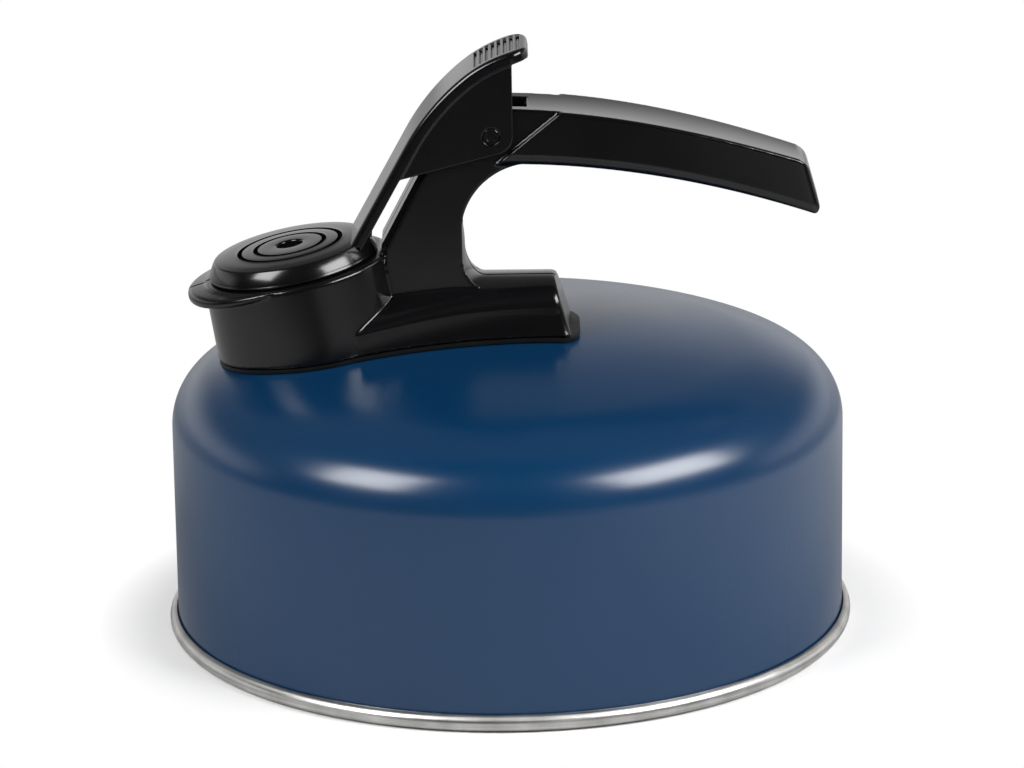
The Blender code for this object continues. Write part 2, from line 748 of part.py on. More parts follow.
def saddle_gasket():
    mesh = dome_layer(GAP, GAP + GASKET_THICKNESS)
    piece = make('saddle_gasket', mesh, black_silicone())
    keep(piece, plan_prism(footprint(GASKET_LIP, GASKET_TAB), WALL_HEIGHT, SPOUT_TOP_Z))
    cut(piece, rod(BORE_RADIUS + GAP, -FAR / 4, FAR / 4, CAP_STEPS, CUT_FRAME))
    for frame in screw_frames():
        cut(piece, rod(SCREW_RADIUS + SCREW_CLEARANCE, -NECK_LENGTH, 0, SMALL_STEPS, frame))
    return piece


# Clamp and screws inside the kettle

def clamp_top():
    return -SHELL_WALL - GAP


def clamp_ring():
    mesh = dome_layer(clamp_top() - CLAMP_THICKNESS, clamp_top())
    piece = make('clamp_ring', mesh, steel())
    keep(piece, tube(BORE_RADIUS + 2 * GAP, CLAMP_OUTER_RADIUS, -2 * NECK_LENGTH, 0,
                     CAP_STEPS, CUT_FRAME))
    for frame in screw_frames()[:-1]:
        cut(piece, rod(SCREW_RADIUS + SCREW_CLEARANCE, -2 * NECK_LENGTH, 0, SMALL_STEPS, frame))
    return piece


def heel_washer():
    frame = screw_frames()[-1]
    top = axis_depth(frame, clamp_top())
    mesh = tube(SCREW_RADIUS + SCREW_CLEARANCE, HEEL_WASHER_RADIUS, top - CLAMP_THICKNESS, top,
                2 * SMALL_STEPS, frame)
    return make('heel_washer', mesh, steel())


def seat_depth(frame):
    """Where a screw's sealing washer starts, clear of the sloping clamp."""
    low = axis_depth(frame, clamp_top() - CLAMP_THICKNESS)
    lowest = low
    for side in range(4):
        edge = Matrix.Rotation(side * RIGHT_ANGLE, 4, 'Z') @ Vector((SCREW_HEAD_RADIUS, 0, 0))
        beside = frame @ Matrix.Translation(edge)
        lowest = min(lowest, axis_depth(beside, clamp_top() - CLAMP_THICKNESS))
    return lowest - GAP


def screw_seals():
    for i, frame in enumerate(screw_frames()):
        top = seat_depth(frame)
        mesh = tube(SCREW_RADIUS + INSERT_CLEARANCE, SCREW_HEAD_RADIUS,
                    top - SEAL_WASHER_THICKNESS, top, SMALL_STEPS, frame)
        make(f'screw_seal_{i + 1}', mesh, grey_silicone())


def screw(frame):
    """Pan-head screw, from under its sealing washer up into the insert."""
    seat = seat_depth(frame) - SEAL_WASHER_THICKNESS - GAP
    tip = insert_foot(frame) + SCREW_GRIP
    bottom = seat - SCREW_HEAD_HEIGHT
    profile = [(0, bottom), (SCREW_HEAD_RADIUS * 0.6, bottom),
               (SCREW_HEAD_RADIUS, bottom + SCREW_HEAD_HEIGHT * 0.5), (SCREW_HEAD_RADIUS, seat),
               (SCREW_RADIUS, seat), (SCREW_RADIUS, tip - SCREW_RADIUS / 2),
               (SCREW_RADIUS / 2, tip), (0, tip)]
    return revolve(profile, SMALL_STEPS, frame)


def fixing_screws():
    """Four screws through the clamp ring and one at the heel."""
    *round_spout, heel = screw_frames()
    for i, frame in enumerate(round_spout):
        make(f'clamp_screw_{i + 1}', screw(frame), steel())
    make('heel_screw', screw(heel), steel())


def threaded_inserts():
    for i, frame in enumerate(screw_frames()):
        foot = insert_foot(frame)
        mesh = tube(INSERT_RADIUS - INSERT_WALL, INSERT_RADIUS, foot, foot + INSERT_LENGTH,
                    SMALL_STEPS, frame)
        make(f'threaded_insert_{i + 1}', mesh, brass())


# Lever moulding

def strap_bends():
    """Radius and degrees of each of its two bends."""
    return ((STRAP_BEND_RADIUS, STRAP_BEND), (PAD_BEND_RADIUS, PAD_BEND))


def strap_place(distance):
    """Where the strap's outer face runs and how steep it is there, at a distance from
    the start of its first bend, negative down the straight arm."""
    turn = math.radians(STRAP_SLOPE)
    place = Vector((STRAP_START_X, 0, STRAP_START_Z))
    if distance < 0:
        return place + Vector((math.cos(turn), 0, math.sin(turn))) * distance, turn
    for radius, bend in strap_bends():
        step = min(distance, radius * math.radians(bend))
        centre = place - outwards(turn) * radius
        turn -= step / radius
        place = centre + outwards(turn) * radius
        distance -= step
    return place, turn


def outwards(turn):
    """Direction out of the strap's outer face."""
    return Vector((-math.sin(turn), 0, math.cos(turn)))


def strap_point(distance, depth):
    place, turn = strap_place(distance)
    return place - outwards(turn) * depth


def strap_length():
    """From the start of the first bend to the pad's end."""
    return sum(radius * math.radians(bend) for radius, bend in strap_bends())


def strap_section(distance, half_width, drop):
    """Section of the strap: flat outer face with rounded long edges."""
    right = []
    for angle in (0, 30, 60, 90):
        a = math.radians(angle)
        right.append((half_width - STRAP_EDGE_ROUND * (1 - math.sin(a)),
                      drop + STRAP_EDGE_ROUND * (1 - math.cos(a))))
    right.append((half_width, STRAP_THICKNESS))
    points = []
    for y, depth in [(-y, depth) for y, depth in right[::-1]] + right:
        place = strap_point(distance, depth)
        points.append(Vector((place.x, y, place.z)))
    return points


def strap():
    """Arm and thumb pad, narrowed round its corners at the pad's end."""
    end = strap_length()
    bends = 11
    stations = [STRAP_FOOT, STRAP_FOOT / 2, 0]
    stations += [(end - PAD_CORNER_RADIUS) * (i + 1) / bends for i in range(bends)]
    sections = [strap_section(s, STRAP_HALF_WIDTH, 0) for s in stations]
    for angle in (30, 50, 70, 85):
        a = math.radians(angle)
        half = STRAP_HALF_WIDTH - PAD_CORNER_RADIUS * (1 - math.cos(a))
        drop = PAD_END_DROP * (1 - math.cos(a)) ** 2
        sections.append(strap_section(end - PAD_CORNER_RADIUS * (1 - math.sin(a)), half, drop))
    return loft(sections)


def cheek(side):
    """Side plate: round corner under the pivot, edge up to the pad, edge down the arm."""
    corner = arc(PIVOT_X + CHEEK_CORNER_SHIFT, PIVOT_Z, CHEEK_CORNER_RADIUS,
                 0, CHEEK_LOWER_SLOPE - 90, 6)
    rear_x = corner[0][0]
    low_x, low_z = corner[-1]
    slope = math.tan(math.radians(CHEEK_LOWER_SLOPE))
    steps = 20
    length = strap_length()
    upper = []
    for i in range(steps + 1):
        place = strap_point(length - (length + CHEEK_REACH) * i / steps, STRAP_THICKNESS / 2)
        if place.x <= rear_x and place.z > low_z - (low_x - place.x) * slope:
            upper.append((place.x, place.z))
    foot_x = upper[-1][0]
    outline = corner + [(foot_x, low_z - (low_x - foot_x) * slope)] + upper[::-1]
    outline.append((rear_x, upper[0][1]))
    inner = COLUMN_HALF_WIDTH + CHEEK_GAP
    edges = sorted((side * inner, side * (inner + CHEEK_THICKNESS)))
    return prism(outline, edges[0], edges[1])


def foot_rib():
    """Web that stiffens the arm where it stands on the cap."""
    upper = strap_point(RIB_TOP, STRAP_THICKNESS / 2)
    inside = strap_point(STRAP_FOOT, STRAP_THICKNESS / 2)
    low = CAP_RIM_BOTTOM + CAP_EDGE_ROUND
    inner = spout_point(-CAP_RADIUS + 2 * CAP_WALL, low)
    outer = spout_point(-CAP_RADIUS - CAP_WALL / 2, low)
    middle = spout_point(-CAP_RADIUS, CAP_EDGE_HEIGHT + CAP_WALL)
    outline = [(upper.x, upper.z), (inside.x, inside.z), inner, outer, middle]
    return prism(outline, -RIB_HALF_WIDTH, RIB_HALF_WIDTH)


def cap_shell():
    """The cap with its seal seat and its whistle pocket, as one turned ring."""
    top = CAP_EDGE_HEIGHT + CAP_CROWN
    ceiling = CAP_EDGE_HEIGHT - CAP_WALL
    rim = CAP_RADIUS - CAP_WALL
    seal_top = 2 * GAP + SEAL_THICKNESS
    seal_inside = SEAL_INNER_RADIUS - GAP
    boss_bottom = whistle_levels()['bottom'] - GAP
    edge = arc(CAP_TOP_RADIUS - CAP_EDGE_ROUND / 2, CAP_EDGE_HEIGHT - CAP_EDGE_ROUND,
               CAP_EDGE_ROUND, 20, 80, 4)
    profile = [(rim, CAP_RIM_BOTTOM), (CAP_RADIUS, CAP_RIM_BOTTOM),
               (CAP_RADIUS, 2 * CAP_RIM_BOTTOM)] + edge
    for radius in (CAP_OUTER_GROOVE, CAP_OUTER_GROOVE - CAP_GROOVE_SPACING):
        half = CAP_GROOVE_WIDTH / 2
        height = cap_height(radius)
        profile += [(radius + half, height), (radius, height - CAP_GROOVE_WIDTH),
                    (radius - half, height)]
    profile += [(CAP_HOLE_RADIUS + CAP_HOLE_CHAMFER, top), (CAP_HOLE_RADIUS, top - CAP_HOLE_CHAMFER),
                (CAP_HOLE_RADIUS, ceiling), (boss_inner(), ceiling), (boss_inner(), boss_bottom),
                (boss_outer(), boss_bottom), (boss_outer(), ceiling), (seal_inside, ceiling),
                (seal_inside, seal_top), (rim, seal_top)]
    return revolve(profile, CAP_STEPS, SPOUT_FRAME, closed=True)


def cap_core():
    """What the arm may not fill: the inside of the cap, to the middle of its walls."""
    middle = CAP_WALL / 2
    return rod(CAP_RADIUS - middle, -NECK_LENGTH, CAP_EDGE_HEIGHT - middle, CAP_STEPS, CUT_FRAME)


def cap_height(radius):
    return CAP_EDGE_HEIGHT + CAP_CROWN * (1 - (radius / CAP_TOP_RADIUS) ** 2)


def whistle_top():
    return CAP_EDGE_HEIGHT - CAP_WALL - GAP


def whistle_levels():
    """Heights inside the cap, from the top of the whistle down to its retaining ring."""
    top = whistle_top()
    names = {}
    names['housing_top'] = top
    names['upper_disc_top'] = top - WHISTLE_WALL - GAP
    names['spacer_top'] = names['upper_disc_top'] - WHISTLE_WALL - GAP
    names['lower_disc_top'] = names['spacer_top'] - WHISTLE_CHAMBER - GAP
    names['ring_top'] = names['lower_disc_top'] - WHISTLE_WALL - GAP
    names['bottom'] = names['ring_top'] - WHISTLE_RING_HEIGHT
    return names


def boss_inner():
    return WHISTLE_RADIUS + WHISTLE_WALL + 2 * GAP


def boss_outer():
    return boss_inner() + BOSS_WALL


def pad_grooves():
    """Cross grooves in the thumb pad, one cutter for each."""
    cutters = []
    for i in range(PAD_RIB_COUNT):
        place, turn = strap_place(strap_length() - PAD_RIB_FIRST - i * PAD_RIB_PITCH)
        frame = Matrix.Translation(place) @ Matrix.Rotation(-turn, 4, 'Y')
        half = PAD_RIB_WIDTH / 2
        outline = [(-half, -PAD_RIB_DEPTH), (half, -PAD_RIB_DEPTH), (half, PAD_RIB_WIDTH),
                   (-half, PAD_RIB_WIDTH)]
        cutters.append(prism(outline, -PAD_RIB_HALF_LENGTH, PAD_RIB_HALF_LENGTH, frame))
    return cutters


def whistle_lever():
    arm = make('arm', strap(), None)
    unite(arm, foot_rib())
    cut(arm, cap_core())
    piece = make('whistle_lever', cap_shell(), black_plastic())
    unite(piece, take_mesh(arm), cheek(1), cheek(-1))
    cut(piece, pin_bore(STRAP_HALF_WIDTH), *pad_grooves())
    return piece


def cap_seal():
    mesh = tube(SEAL_INNER_RADIUS, SEAL_OUTER_RADIUS, GAP, GAP + SEAL_THICKNESS, CAP_STEPS,
                SPOUT_FRAME)
    return make('cap_seal', mesh, black_silicone())


# Whistle in the cap

def whistle_housing():
    """Thin cup, open below, with the steam hole in its top."""
    levels = whistle_levels()
    outer = WHISTLE_RADIUS + WHISTLE_WALL + GAP
    inner = WHISTLE_RADIUS + GAP
    top = levels['housing_top']
    profile = [(CAP_HOLE_RADIUS, top), (CAP_HOLE_RADIUS, top - WHISTLE_WALL),
               (inner, top - WHISTLE_WALL), (inner, levels['bottom']),
               (outer, levels['bottom']), (outer, top)]
    return make('whistle_housing', revolve(profile, CAP_STEPS, SPOUT_FRAME, closed=True), steel())


def whistle_disc(name, level):
    top = whistle_levels()[level]
    mesh = tube(WHISTLE_BLOW_HOLE, WHISTLE_RADIUS, top - WHISTLE_WALL, top, CAP_STEPS, SPOUT_FRAME)
    return make(name, mesh, steel())


def whistle_ring(name, level, height):
    top = whistle_levels()[level]
    mesh = tube(WHISTLE_RADIUS - WHISTLE_RING_WIDTH, WHISTLE_RADIUS, top - height, top,
                CAP_STEPS, SPOUT_FRAME)
    return make(name, mesh, steel())


# Hinge pin and return spring

def hinge_pin():
    half = COLUMN_HALF_WIDTH + CHEEK_GAP + CHEEK_THICKNESS
    chamfer = PIN_CHAMFER
    profile = [(0, -half), (PIN_RADIUS - chamfer, -half), (PIN_RADIUS, -half + chamfer),
               (PIN_RADIUS, half - chamfer), (PIN_RADIUS - chamfer, half), (0, half)]
    return make('hinge_pin', revolve(profile, PIN_STEPS, pin_frame()), black_plastic())


def spring_route():
    """Lower leg along the slot floor, coils round the pin, upper leg up to the strap."""
    low = math.radians(COIL_LOWER_ANGLE)
    high = math.radians(COIL_UPPER_ANGLE)
    total = COIL_TURNS * FULL_TURN + high - low
    per_turn = 10
    count = round(total / FULL_TURN * per_turn)
    route = []
    start = PIVOT + Vector((math.cos(low), 0, math.sin(low))) * COIL_RADIUS
    route.append(start + Vector((math.sin(low), 0, -math.cos(low))) * LOWER_LEG)
    for i in range(count + 1):
        a = low + total * i / count
        y = -COIL_HALF_LENGTH + 2 * COIL_HALF_LENGTH * i / count
        route.append(PIVOT + Vector((math.cos(a) * COIL_RADIUS, y, math.sin(a) * COIL_RADIUS)))
    end = route[-1]
    route.append(end + Vector((-math.sin(high), 0, math.cos(high))) * UPPER_LEG)
    route[0].y = -COIL_HALF_LENGTH
    return route


def least_coil_gap():
    """Free space between neighbouring coils, measured on the route's points."""
    route = spring_route()[1:-1]
    nearest = FAR
    for i, point in enumerate(route):
        for other in route[i + 6:]:
            nearest = min(nearest, (other - point).length)
    return nearest - 2 * WIRE_RADIUS


def return_spring():
    curve = bpy.data.curves.new('return_spring', 'CURVE')
    curve.dimensions = '3D'
    curve.bevel_depth = WIRE_RADIUS
    curve.bevel_resolution = 1
    curve.use_fill_caps = True
    route = spring_route()
    line = curve.splines.new('POLY')
    line.points.add(len(route) - 1)
    for point, place in zip(line.points, route):
        point.co = (*place, 1)
    piece = bpy.data.objects.new('return_spring', curve)
    bpy.context.scene.collection.objects.link(piece)
    curve.materials.append(steel())
    return piece


def build():
    clear_scene()
    kettle_shell()
    base_plate()
    seam_sealant()
    handle_moulding()
    saddle_gasket()
    clamp_ring()
    fixing_screws()
    heel_washer()
    screw_seals()
    threaded_inserts()
    whistle_lever()
    cap_seal()
    whistle_housing()
    whistle_disc('whistle_upper_disc', 'upper_disc_top')
    whistle_ring('whistle_spacer', 'spacer_top', WHISTLE_CHAMBER)
    whistle_disc('whistle_lower_disc', 'lower_disc_top')
    whistle_ring('whistle_retainer', 'ring_top', WHISTLE_RING_HEIGHT)
    hinge_pin()
    return_spring()
    print('least gap between spring coils: %.2f mm' % (least_coil_gap() * 1000))


build()
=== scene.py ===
"""Looks of the whistling camp kettle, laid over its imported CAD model.

Metres, +Z up, spout at -X, grip at +X. The photograph's camera looks along +Y.
"""
import json
import math

import bmesh
import bpy
from mathutils import Matrix, Vector

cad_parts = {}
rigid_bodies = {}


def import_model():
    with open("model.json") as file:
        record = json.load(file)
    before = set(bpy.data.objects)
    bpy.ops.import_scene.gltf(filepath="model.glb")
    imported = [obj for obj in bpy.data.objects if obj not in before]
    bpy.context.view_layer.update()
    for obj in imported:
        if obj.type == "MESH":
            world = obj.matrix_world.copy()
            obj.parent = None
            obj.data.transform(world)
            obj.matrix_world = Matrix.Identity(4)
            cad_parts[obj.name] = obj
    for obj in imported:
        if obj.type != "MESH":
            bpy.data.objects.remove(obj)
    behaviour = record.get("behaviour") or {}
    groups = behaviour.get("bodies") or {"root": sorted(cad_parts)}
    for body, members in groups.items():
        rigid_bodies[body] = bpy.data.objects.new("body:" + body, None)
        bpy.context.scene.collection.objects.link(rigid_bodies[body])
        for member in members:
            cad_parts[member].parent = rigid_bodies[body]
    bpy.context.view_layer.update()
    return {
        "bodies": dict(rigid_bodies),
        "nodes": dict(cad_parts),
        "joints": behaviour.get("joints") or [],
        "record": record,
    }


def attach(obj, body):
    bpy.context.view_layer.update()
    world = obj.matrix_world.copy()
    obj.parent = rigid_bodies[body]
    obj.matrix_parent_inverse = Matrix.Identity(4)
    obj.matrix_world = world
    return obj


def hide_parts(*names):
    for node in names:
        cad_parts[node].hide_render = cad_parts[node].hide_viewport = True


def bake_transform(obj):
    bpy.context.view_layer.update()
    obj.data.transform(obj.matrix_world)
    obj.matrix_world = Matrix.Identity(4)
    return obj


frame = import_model()

# Sizes. Most are the CAD's too. Where one differs, the look follows the photograph more closely.
GAP = 0.0003
RIM_RADIUS = 0.1000
RIM_BEAD_RADIUS = 0.0025
WALL_RADIUS = RIM_RADIUS - RIM_BEAD_RADIUS
SHELL_WALL = 0.0009
WALL_HEIGHT = 0.0610
SHOULDER_RADIUS = 0.01765
SHOULDER_TURN = 66.6
CROWN_RADIUS = 0.0742
CROWN_END = 81.7
BASE_THICKNESS = 0.0010
BASE_STEPS = ((0, 0.0005), (0.0180, 0.0005), (0.0184, 0.0003), (0.0560, 0.0003), (0.0564, 0.0005),
              (0.0600, 0.0005), (0.0604, 0.0003), (0.0900, 0.0003), (0.0915, 0))

SPOUT_TOP = Vector((-0.0610, 0, 0.1076))
SPOUT_TILT = 10.2
NECK_TOP_RADIUS = 0.0273
NECK_FOOT_RADIUS = 0.0281
NECK_SETBACK = 0.0008
NECK_LENGTH = 0.0360
NECK_EDGE_ROUND = 0.0010
MOUTH_CHAMFER = 0.0006
BORE_RADIUS = 0.0200
SEAL_INNER_RADIUS = 0.0209
LIP_REACH = 0.0052
LIP_RADIUS = 0.0265
LIP_NOTCH = 0.0011
LIP_NOTCH_DEPTH = 0.0008
LIP_THICKNESS = 0.0037
LIP_SPREAD = 100.0
LIP_FULL_REACH = 0.0052
LIP_FALL = 0.0010
LIP_INSET = 0.0001
LIP_FALL_RATE = 1.5
LIP_LEAST = 0.30
LIP_ROUNDING = 0.42
LIP_UNDER_SLOPE = 0.15

SADDLE_CREST_Z = 0.1036
SADDLE_FRONT_CREST_Z = 0.0985
RIDGE_RISE_HEEL = 0.0079
RIDGE_RISE_SLOPE = 0.0055
RIDGE_RISE_BEND = -0.0075
HEEL_X = 0.0144
HEEL_LEAN = 16.5
HEEL_HALF_WIDTH = 0.0126
SKIRT_FLARE = 0.0029
SKIRT_ROOT = 0.0060
SADDLE_FRONT_X = -0.0580
SADDLE_FRONT_HALF_WIDTH = 0.0262
RING_X = -0.0575
RING_RADIUS = 0.0277
RING_JOIN_X = -0.0530
HEEL_CORNER_RADIUS = 0.0018
HEEL_TOP_DROP = 0.0004
SADDLE_WIDTH_POWER = 1.6
RING_START_X = -0.0400
RING_JOIN_SLOPE = 0.25
SKIRT_NARROWING = 0.75
SKIRT_LEAST = 0.3
SKIRT_STRAIGHT = 0.35
CREST_FALL_FROM = 0.4
ROUNDNESS_HEEL = 2.7
ROUNDNESS_LOSS_BY = 0.65
GASKET_THICKNESS = 0.0010
GASKET_LIP = -0.0002
GASKET_TAB = 0.0041
GASKET_CORNER = 0.0056
GASKET_CORNER_WIDTH = 0.0100
GASKET_ROUND = 0.00035

PIVOT = Vector((-0.0035, 0, 0.1475))
COLUMN_HALF_WIDTH = 0.0102
COLUMN_FRONT_RADIUS = 0.0115
COLUMN_FRONT_SLOPE = 62.0
COLUMN_FOOT_X = -0.0340
COLUMN_ROOT = 0.0100
HAND_ARC_RADIUS = 0.0210
HAND_ARC_X = 0.0085
HAND_ARC_Z = 0.1182
FOOT_FILLET = 0.0062
FOOT_FILLET_EDGE = 0.0066
FOOT_FILLET_STRETCH = 1.55
REAR_CROWN = 0.0010
REAR_CROWN_TOP = 0.1240
SEAM_DEPTH = 0.0005
SEAM_WIDTH = 0.0011
GRIP_HALF_WIDTH = 0.0119
GRIP_NARROW = 0.0014
GRIP_NARROW_FROM = 0.025
GRIP_NARROW_OVER = 0.045
GRIP_CORNER = 0.0022
GRIP_END_X = 0.0868
GRIP_END_LEAN = 15.5
GRIP_EDGE_CURVE = (5.14459, -2.50039, -0.0196889, 0.15523)
GRIP_UNDER_CURVE = (-1.70603, -2.09445, -0.00695082, 0.139045)
GRIP_CROWN = -0.0003
GRIP_EDGE_ROUND = 0.0008
GRIP_UNDER_ROUND = 0.0016
GRIP_UNDER_TAPER = 0.0030
GRIP_UNDER_INSET = 0.0003
GRIP_END_ROUND_TOP = 0.0046
GRIP_END_ROUND_UNDER = 0.0022
STEP_SLOPE = 39.2
STEP_OFFSET = 0.0074
SPRING_SLOT_HALF_WIDTH = 0.0056
SPRING_SLOT_REAR = 0.0102
SLOT_REACH = 0.0300
FRONT_PLATE_RISE = 0.0014
FRONT_PLATE_THICKNESS = 0.0035
FRONT_PLATE_HALF_WIDTH = 0.0086
FRONT_PLATE_END = 130
FRONT_SEAM_LENGTH = 0.0440
SEAM_SKIN = 0.00008
COLUMN_BORE_HALF = 0.0120
CHEEK_BORE_HALF = 0.0140

STRAP_SLOPE = 60.9
STRAP_START = Vector((-0.0280, 0, 0.1451))
STRAP_BENDS = ((0.0669, 22.0), (0.0402, 29.2))
STRAP_HALF_WIDTH = 0.0121
STRAP_THICKNESS = 0.0034
STRAP_EDGE_ROUND = 0.0015
STRAP_FOOT = -0.0395
PAD_CORNER_RADIUS = 0.0060
PAD_END_DROP = 0.0015
CHEEK_GAP = 0.0004
CHEEK_THICKNESS = 0.0011
CHEEK_CORNER_RADIUS = 0.0054
CHEEK_CORNER_SHIFT = 0.0008
CHEEK_LOWER_SLOPE = 14.2
CHEEK_REACH = 0.0120
RIB_HALF_WIDTH = 0.0022
RIB_TOP = -0.0290
PAD_RIB_COUNT = 8
PAD_RIB_PITCH = 0.00188
PAD_RIB_WIDTH = 0.00095
PAD_RIB_DEPTH = 0.00075
PAD_RIB_HALF_LENGTH = 0.0088
PAD_RIB_FIRST = 0.0026

CAP_RADIUS = 0.0246
CAP_TOP_RADIUS = 0.0229
CAP_RIM_BOTTOM = 0.0003
CAP_EDGE_HEIGHT = 0.0053
CAP_EDGE_ROUND = 0.0009
CAP_BEAD = 0.00045
CAP_SIDE_INSET = 0.0002
CAP_SIDE_FOOT = 0.0015
CAP_SIDE_START = 18.0
CAP_SIDE_END = 36.0
CAP_SIDE_RADIUS = 0.0121
CAP_CROWN = 0.0009
CAP_WALL = 0.0018
CAP_HOLE_RADIUS = 0.0038
CAP_HOLE_CHAMFER = 0.0006
CAP_GROOVES = (0.0148, 0.0101)
CAP_GROOVE_WIDTH = 0.0014
CAP_GROOVE_DEPTH = 0.0011
SEAL_THICKNESS = 0.0016
BOSS_INNER = 0.0116
BOSS_OUTER = 0.0130
BOSS_BOTTOM = -0.0037

PIN_RADIUS = 0.0024
PIN_CLEARANCE = 0.0001
PIN_CHAMFER = 0.0002
PIN_DISH = 0.0002
PIN_DISH_EDGE = 0.62
PIN_DISH_FLOOR = 0.55
WIRE_RADIUS = 0.00055
COIL_RADIUS = 0.0037
COIL_TURNS = 4
COIL_HALF_LENGTH = 0.0042
COIL_LOWER_ANGLE = -75.8
COIL_UPPER_ANGLE = 20.0
LOWER_LEG = 0.0120
UPPER_LEG = 0.0160

FULL_TURN = 2 * math.pi
SPOUT_FRAME = Matrix.Translation(SPOUT_TOP) @ Matrix.Rotation(-math.radians(SPOUT_TILT), 4, 'Y')
NECK_FRAME = SPOUT_FRAME @ Matrix.Translation((NECK_SETBACK, 0, 0))
PIN_FRAME = Matrix.Translation(PIVOT) @ Matrix.Rotation(math.pi / 2, 4, 'X')
FAR = 0.3
TRIM = 0.0040
FINE = 0.00001
FINE_BUMP = 0.00005

# Camera fitted to the photograph, and lamps as azimuth, elevation, distance, width, height, radiance
SENSOR_MM = 36
LENS_MM = 181.31
CAMERA_PITCH = 17.1934
CAMERA_ROLL = -0.84367
CAMERA_PLACE = (0.0014687, -1.432969, 0.513709)
KEY_LEFT = (-53, 38, 1.4, 0.62, 0.64, 12.6)
KEY_RIGHT = (62, 37, 1.4, 0.94, 0.58, 13.6)
LAMP_TARGET = Vector((0, 0, 0.07))
FLOOR_HALF = 6
FLOOR_DROP = 0.0002
DARKEST_ROOM = 0.012

# Detail of the visual meshes
BODY_STEPS = 256
TURNED_STEPS = 160
HANDLE_VOXEL = 0.00036
LEVER_VOXEL = 0.00022


# Curves and meshes

def arc(centre_x, centre_z, radius, start, end, count):
    points = []
    for i in range(count + 1):
        a = math.radians(start + (end - start) * i / count)
        points.append((centre_x + radius * math.cos(a), centre_z + radius * math.sin(a)))
    return points


def clean(mesh):
    bmesh.ops.remove_doubles(mesh, verts=mesh.verts, dist=1e-7)
    bmesh.ops.recalc_face_normals(mesh, faces=mesh.faces)
    return mesh


def revolve(profile, steps, frame=Matrix.Identity(4), closed=False):
    mesh = bmesh.new()
    verts = [mesh.verts.new((r, 0, h)) for r, h in profile]
    edges = [mesh.edges.new(pair) for pair in zip(verts, verts[1:])]
    if closed:
        edges.append(mesh.edges.new((verts[-1], verts[0])))
    bmesh.ops.spin(mesh, geom=verts + edges, cent=(0, 0, 0), axis=(0, 0, 1),
                   angle=FULL_TURN, steps=steps, use_merge=True)
    mesh.transform(frame)
    return clean(mesh)


def prism(outline, low, high, frame=Matrix.Identity(4)):
    mesh = bmesh.new()
    face = mesh.faces.new([mesh.verts.new((x, low, z)) for x, z in outline])
    side = bmesh.ops.extrude_face_region(mesh, geom=[face])
    moved = [item for item in side['geom'] if isinstance(item, bmesh.types.BMVert)]
    bmesh.ops.translate(mesh, verts=moved, vec=(0, high - low, 0))
    mesh.transform(frame)
    return clean(mesh)


def loft(sections):
    mesh = bmesh.new()
    rings = [[mesh.verts.new(point) for point in section] for section in sections]
    count = len(rings[0])
    for ring, after in zip(rings, rings[1:]):
        for i in range(count):
            j = (i + 1) % count
            mesh.faces.new((ring[i], ring[j], after[j], after[i]))
    mesh.faces.new(rings[0])
    mesh.faces.new(rings[-1])
    bmesh.ops.triangulate(mesh, faces=mesh.faces)
    return clean(mesh)


def rod(radius, low, high, steps, frame):
    return revolve([(0, low), (radius, low), (radius, high), (0, high)], steps, frame)


def make(name, mesh, look=None, sharp=35):
    data = bpy.data.meshes.new(name)
    mesh.to_mesh(data)
    mesh.free()
    piece = bpy.data.objects.new(name, data)
    bpy.context.scene.collection.objects.link(piece)
    if look is not None:
        data.materials.append(look)
    data.shade_smooth()
    if sharp:
        data.set_sharp_from_angle(angle=math.radians(sharp))
    return piece


def apply_all(piece):
    """Replace a piece's mesh by its modified mesh."""
    graph = bpy.context.evaluated_depsgraph_get()
    result = bpy.data.meshes.new_from_object(piece.evaluated_get(graph))
    piece.modifiers.clear()
    old = piece.data
    piece.data = result
    result.name = piece.name
    bpy.data.meshes.remove(old)


def combine(piece, meshes, operation):
    for mesh in meshes:
        tool = make('cutter', mesh)
        step = piece.modifiers.new('cut', 'BOOLEAN')
        step.operation = operation
        step.solver = 'MANIFOLD'
        step.object = tool
        apply_all(piece)
        bpy.data.objects.remove(tool, do_unlink=True)


def cut(piece, *meshes):
    combine(piece, meshes, 'DIFFERENCE')


def keep(piece, *meshes):
    combine(piece, meshes, 'INTERSECT')


def fuse(name, pieces, look, voxel, rounds):
    """Join closed pieces into one skin on a voxel grid, with small moulded radii."""
    whole = bmesh.new()
    for piece in pieces:
        whole.from_mesh(piece.data)
        bpy.data.objects.remove(piece, do_unlink=True)
    body = make(name, whole, None, 0)
    step = body.modifiers.new('skin', 'REMESH')
    step.mode = 'VOXEL'
    step.voxel_size = voxel
    step.use_smooth_shade = True
    soft = body.modifiers.new('soft', 'SMOOTH')
    soft.factor = 0.5
    soft.iterations = rounds
    apply_all(body)
    body.data.materials.clear()
    body.data.materials.append(look)
    body.data.shade_smooth()
    return body


# Materials

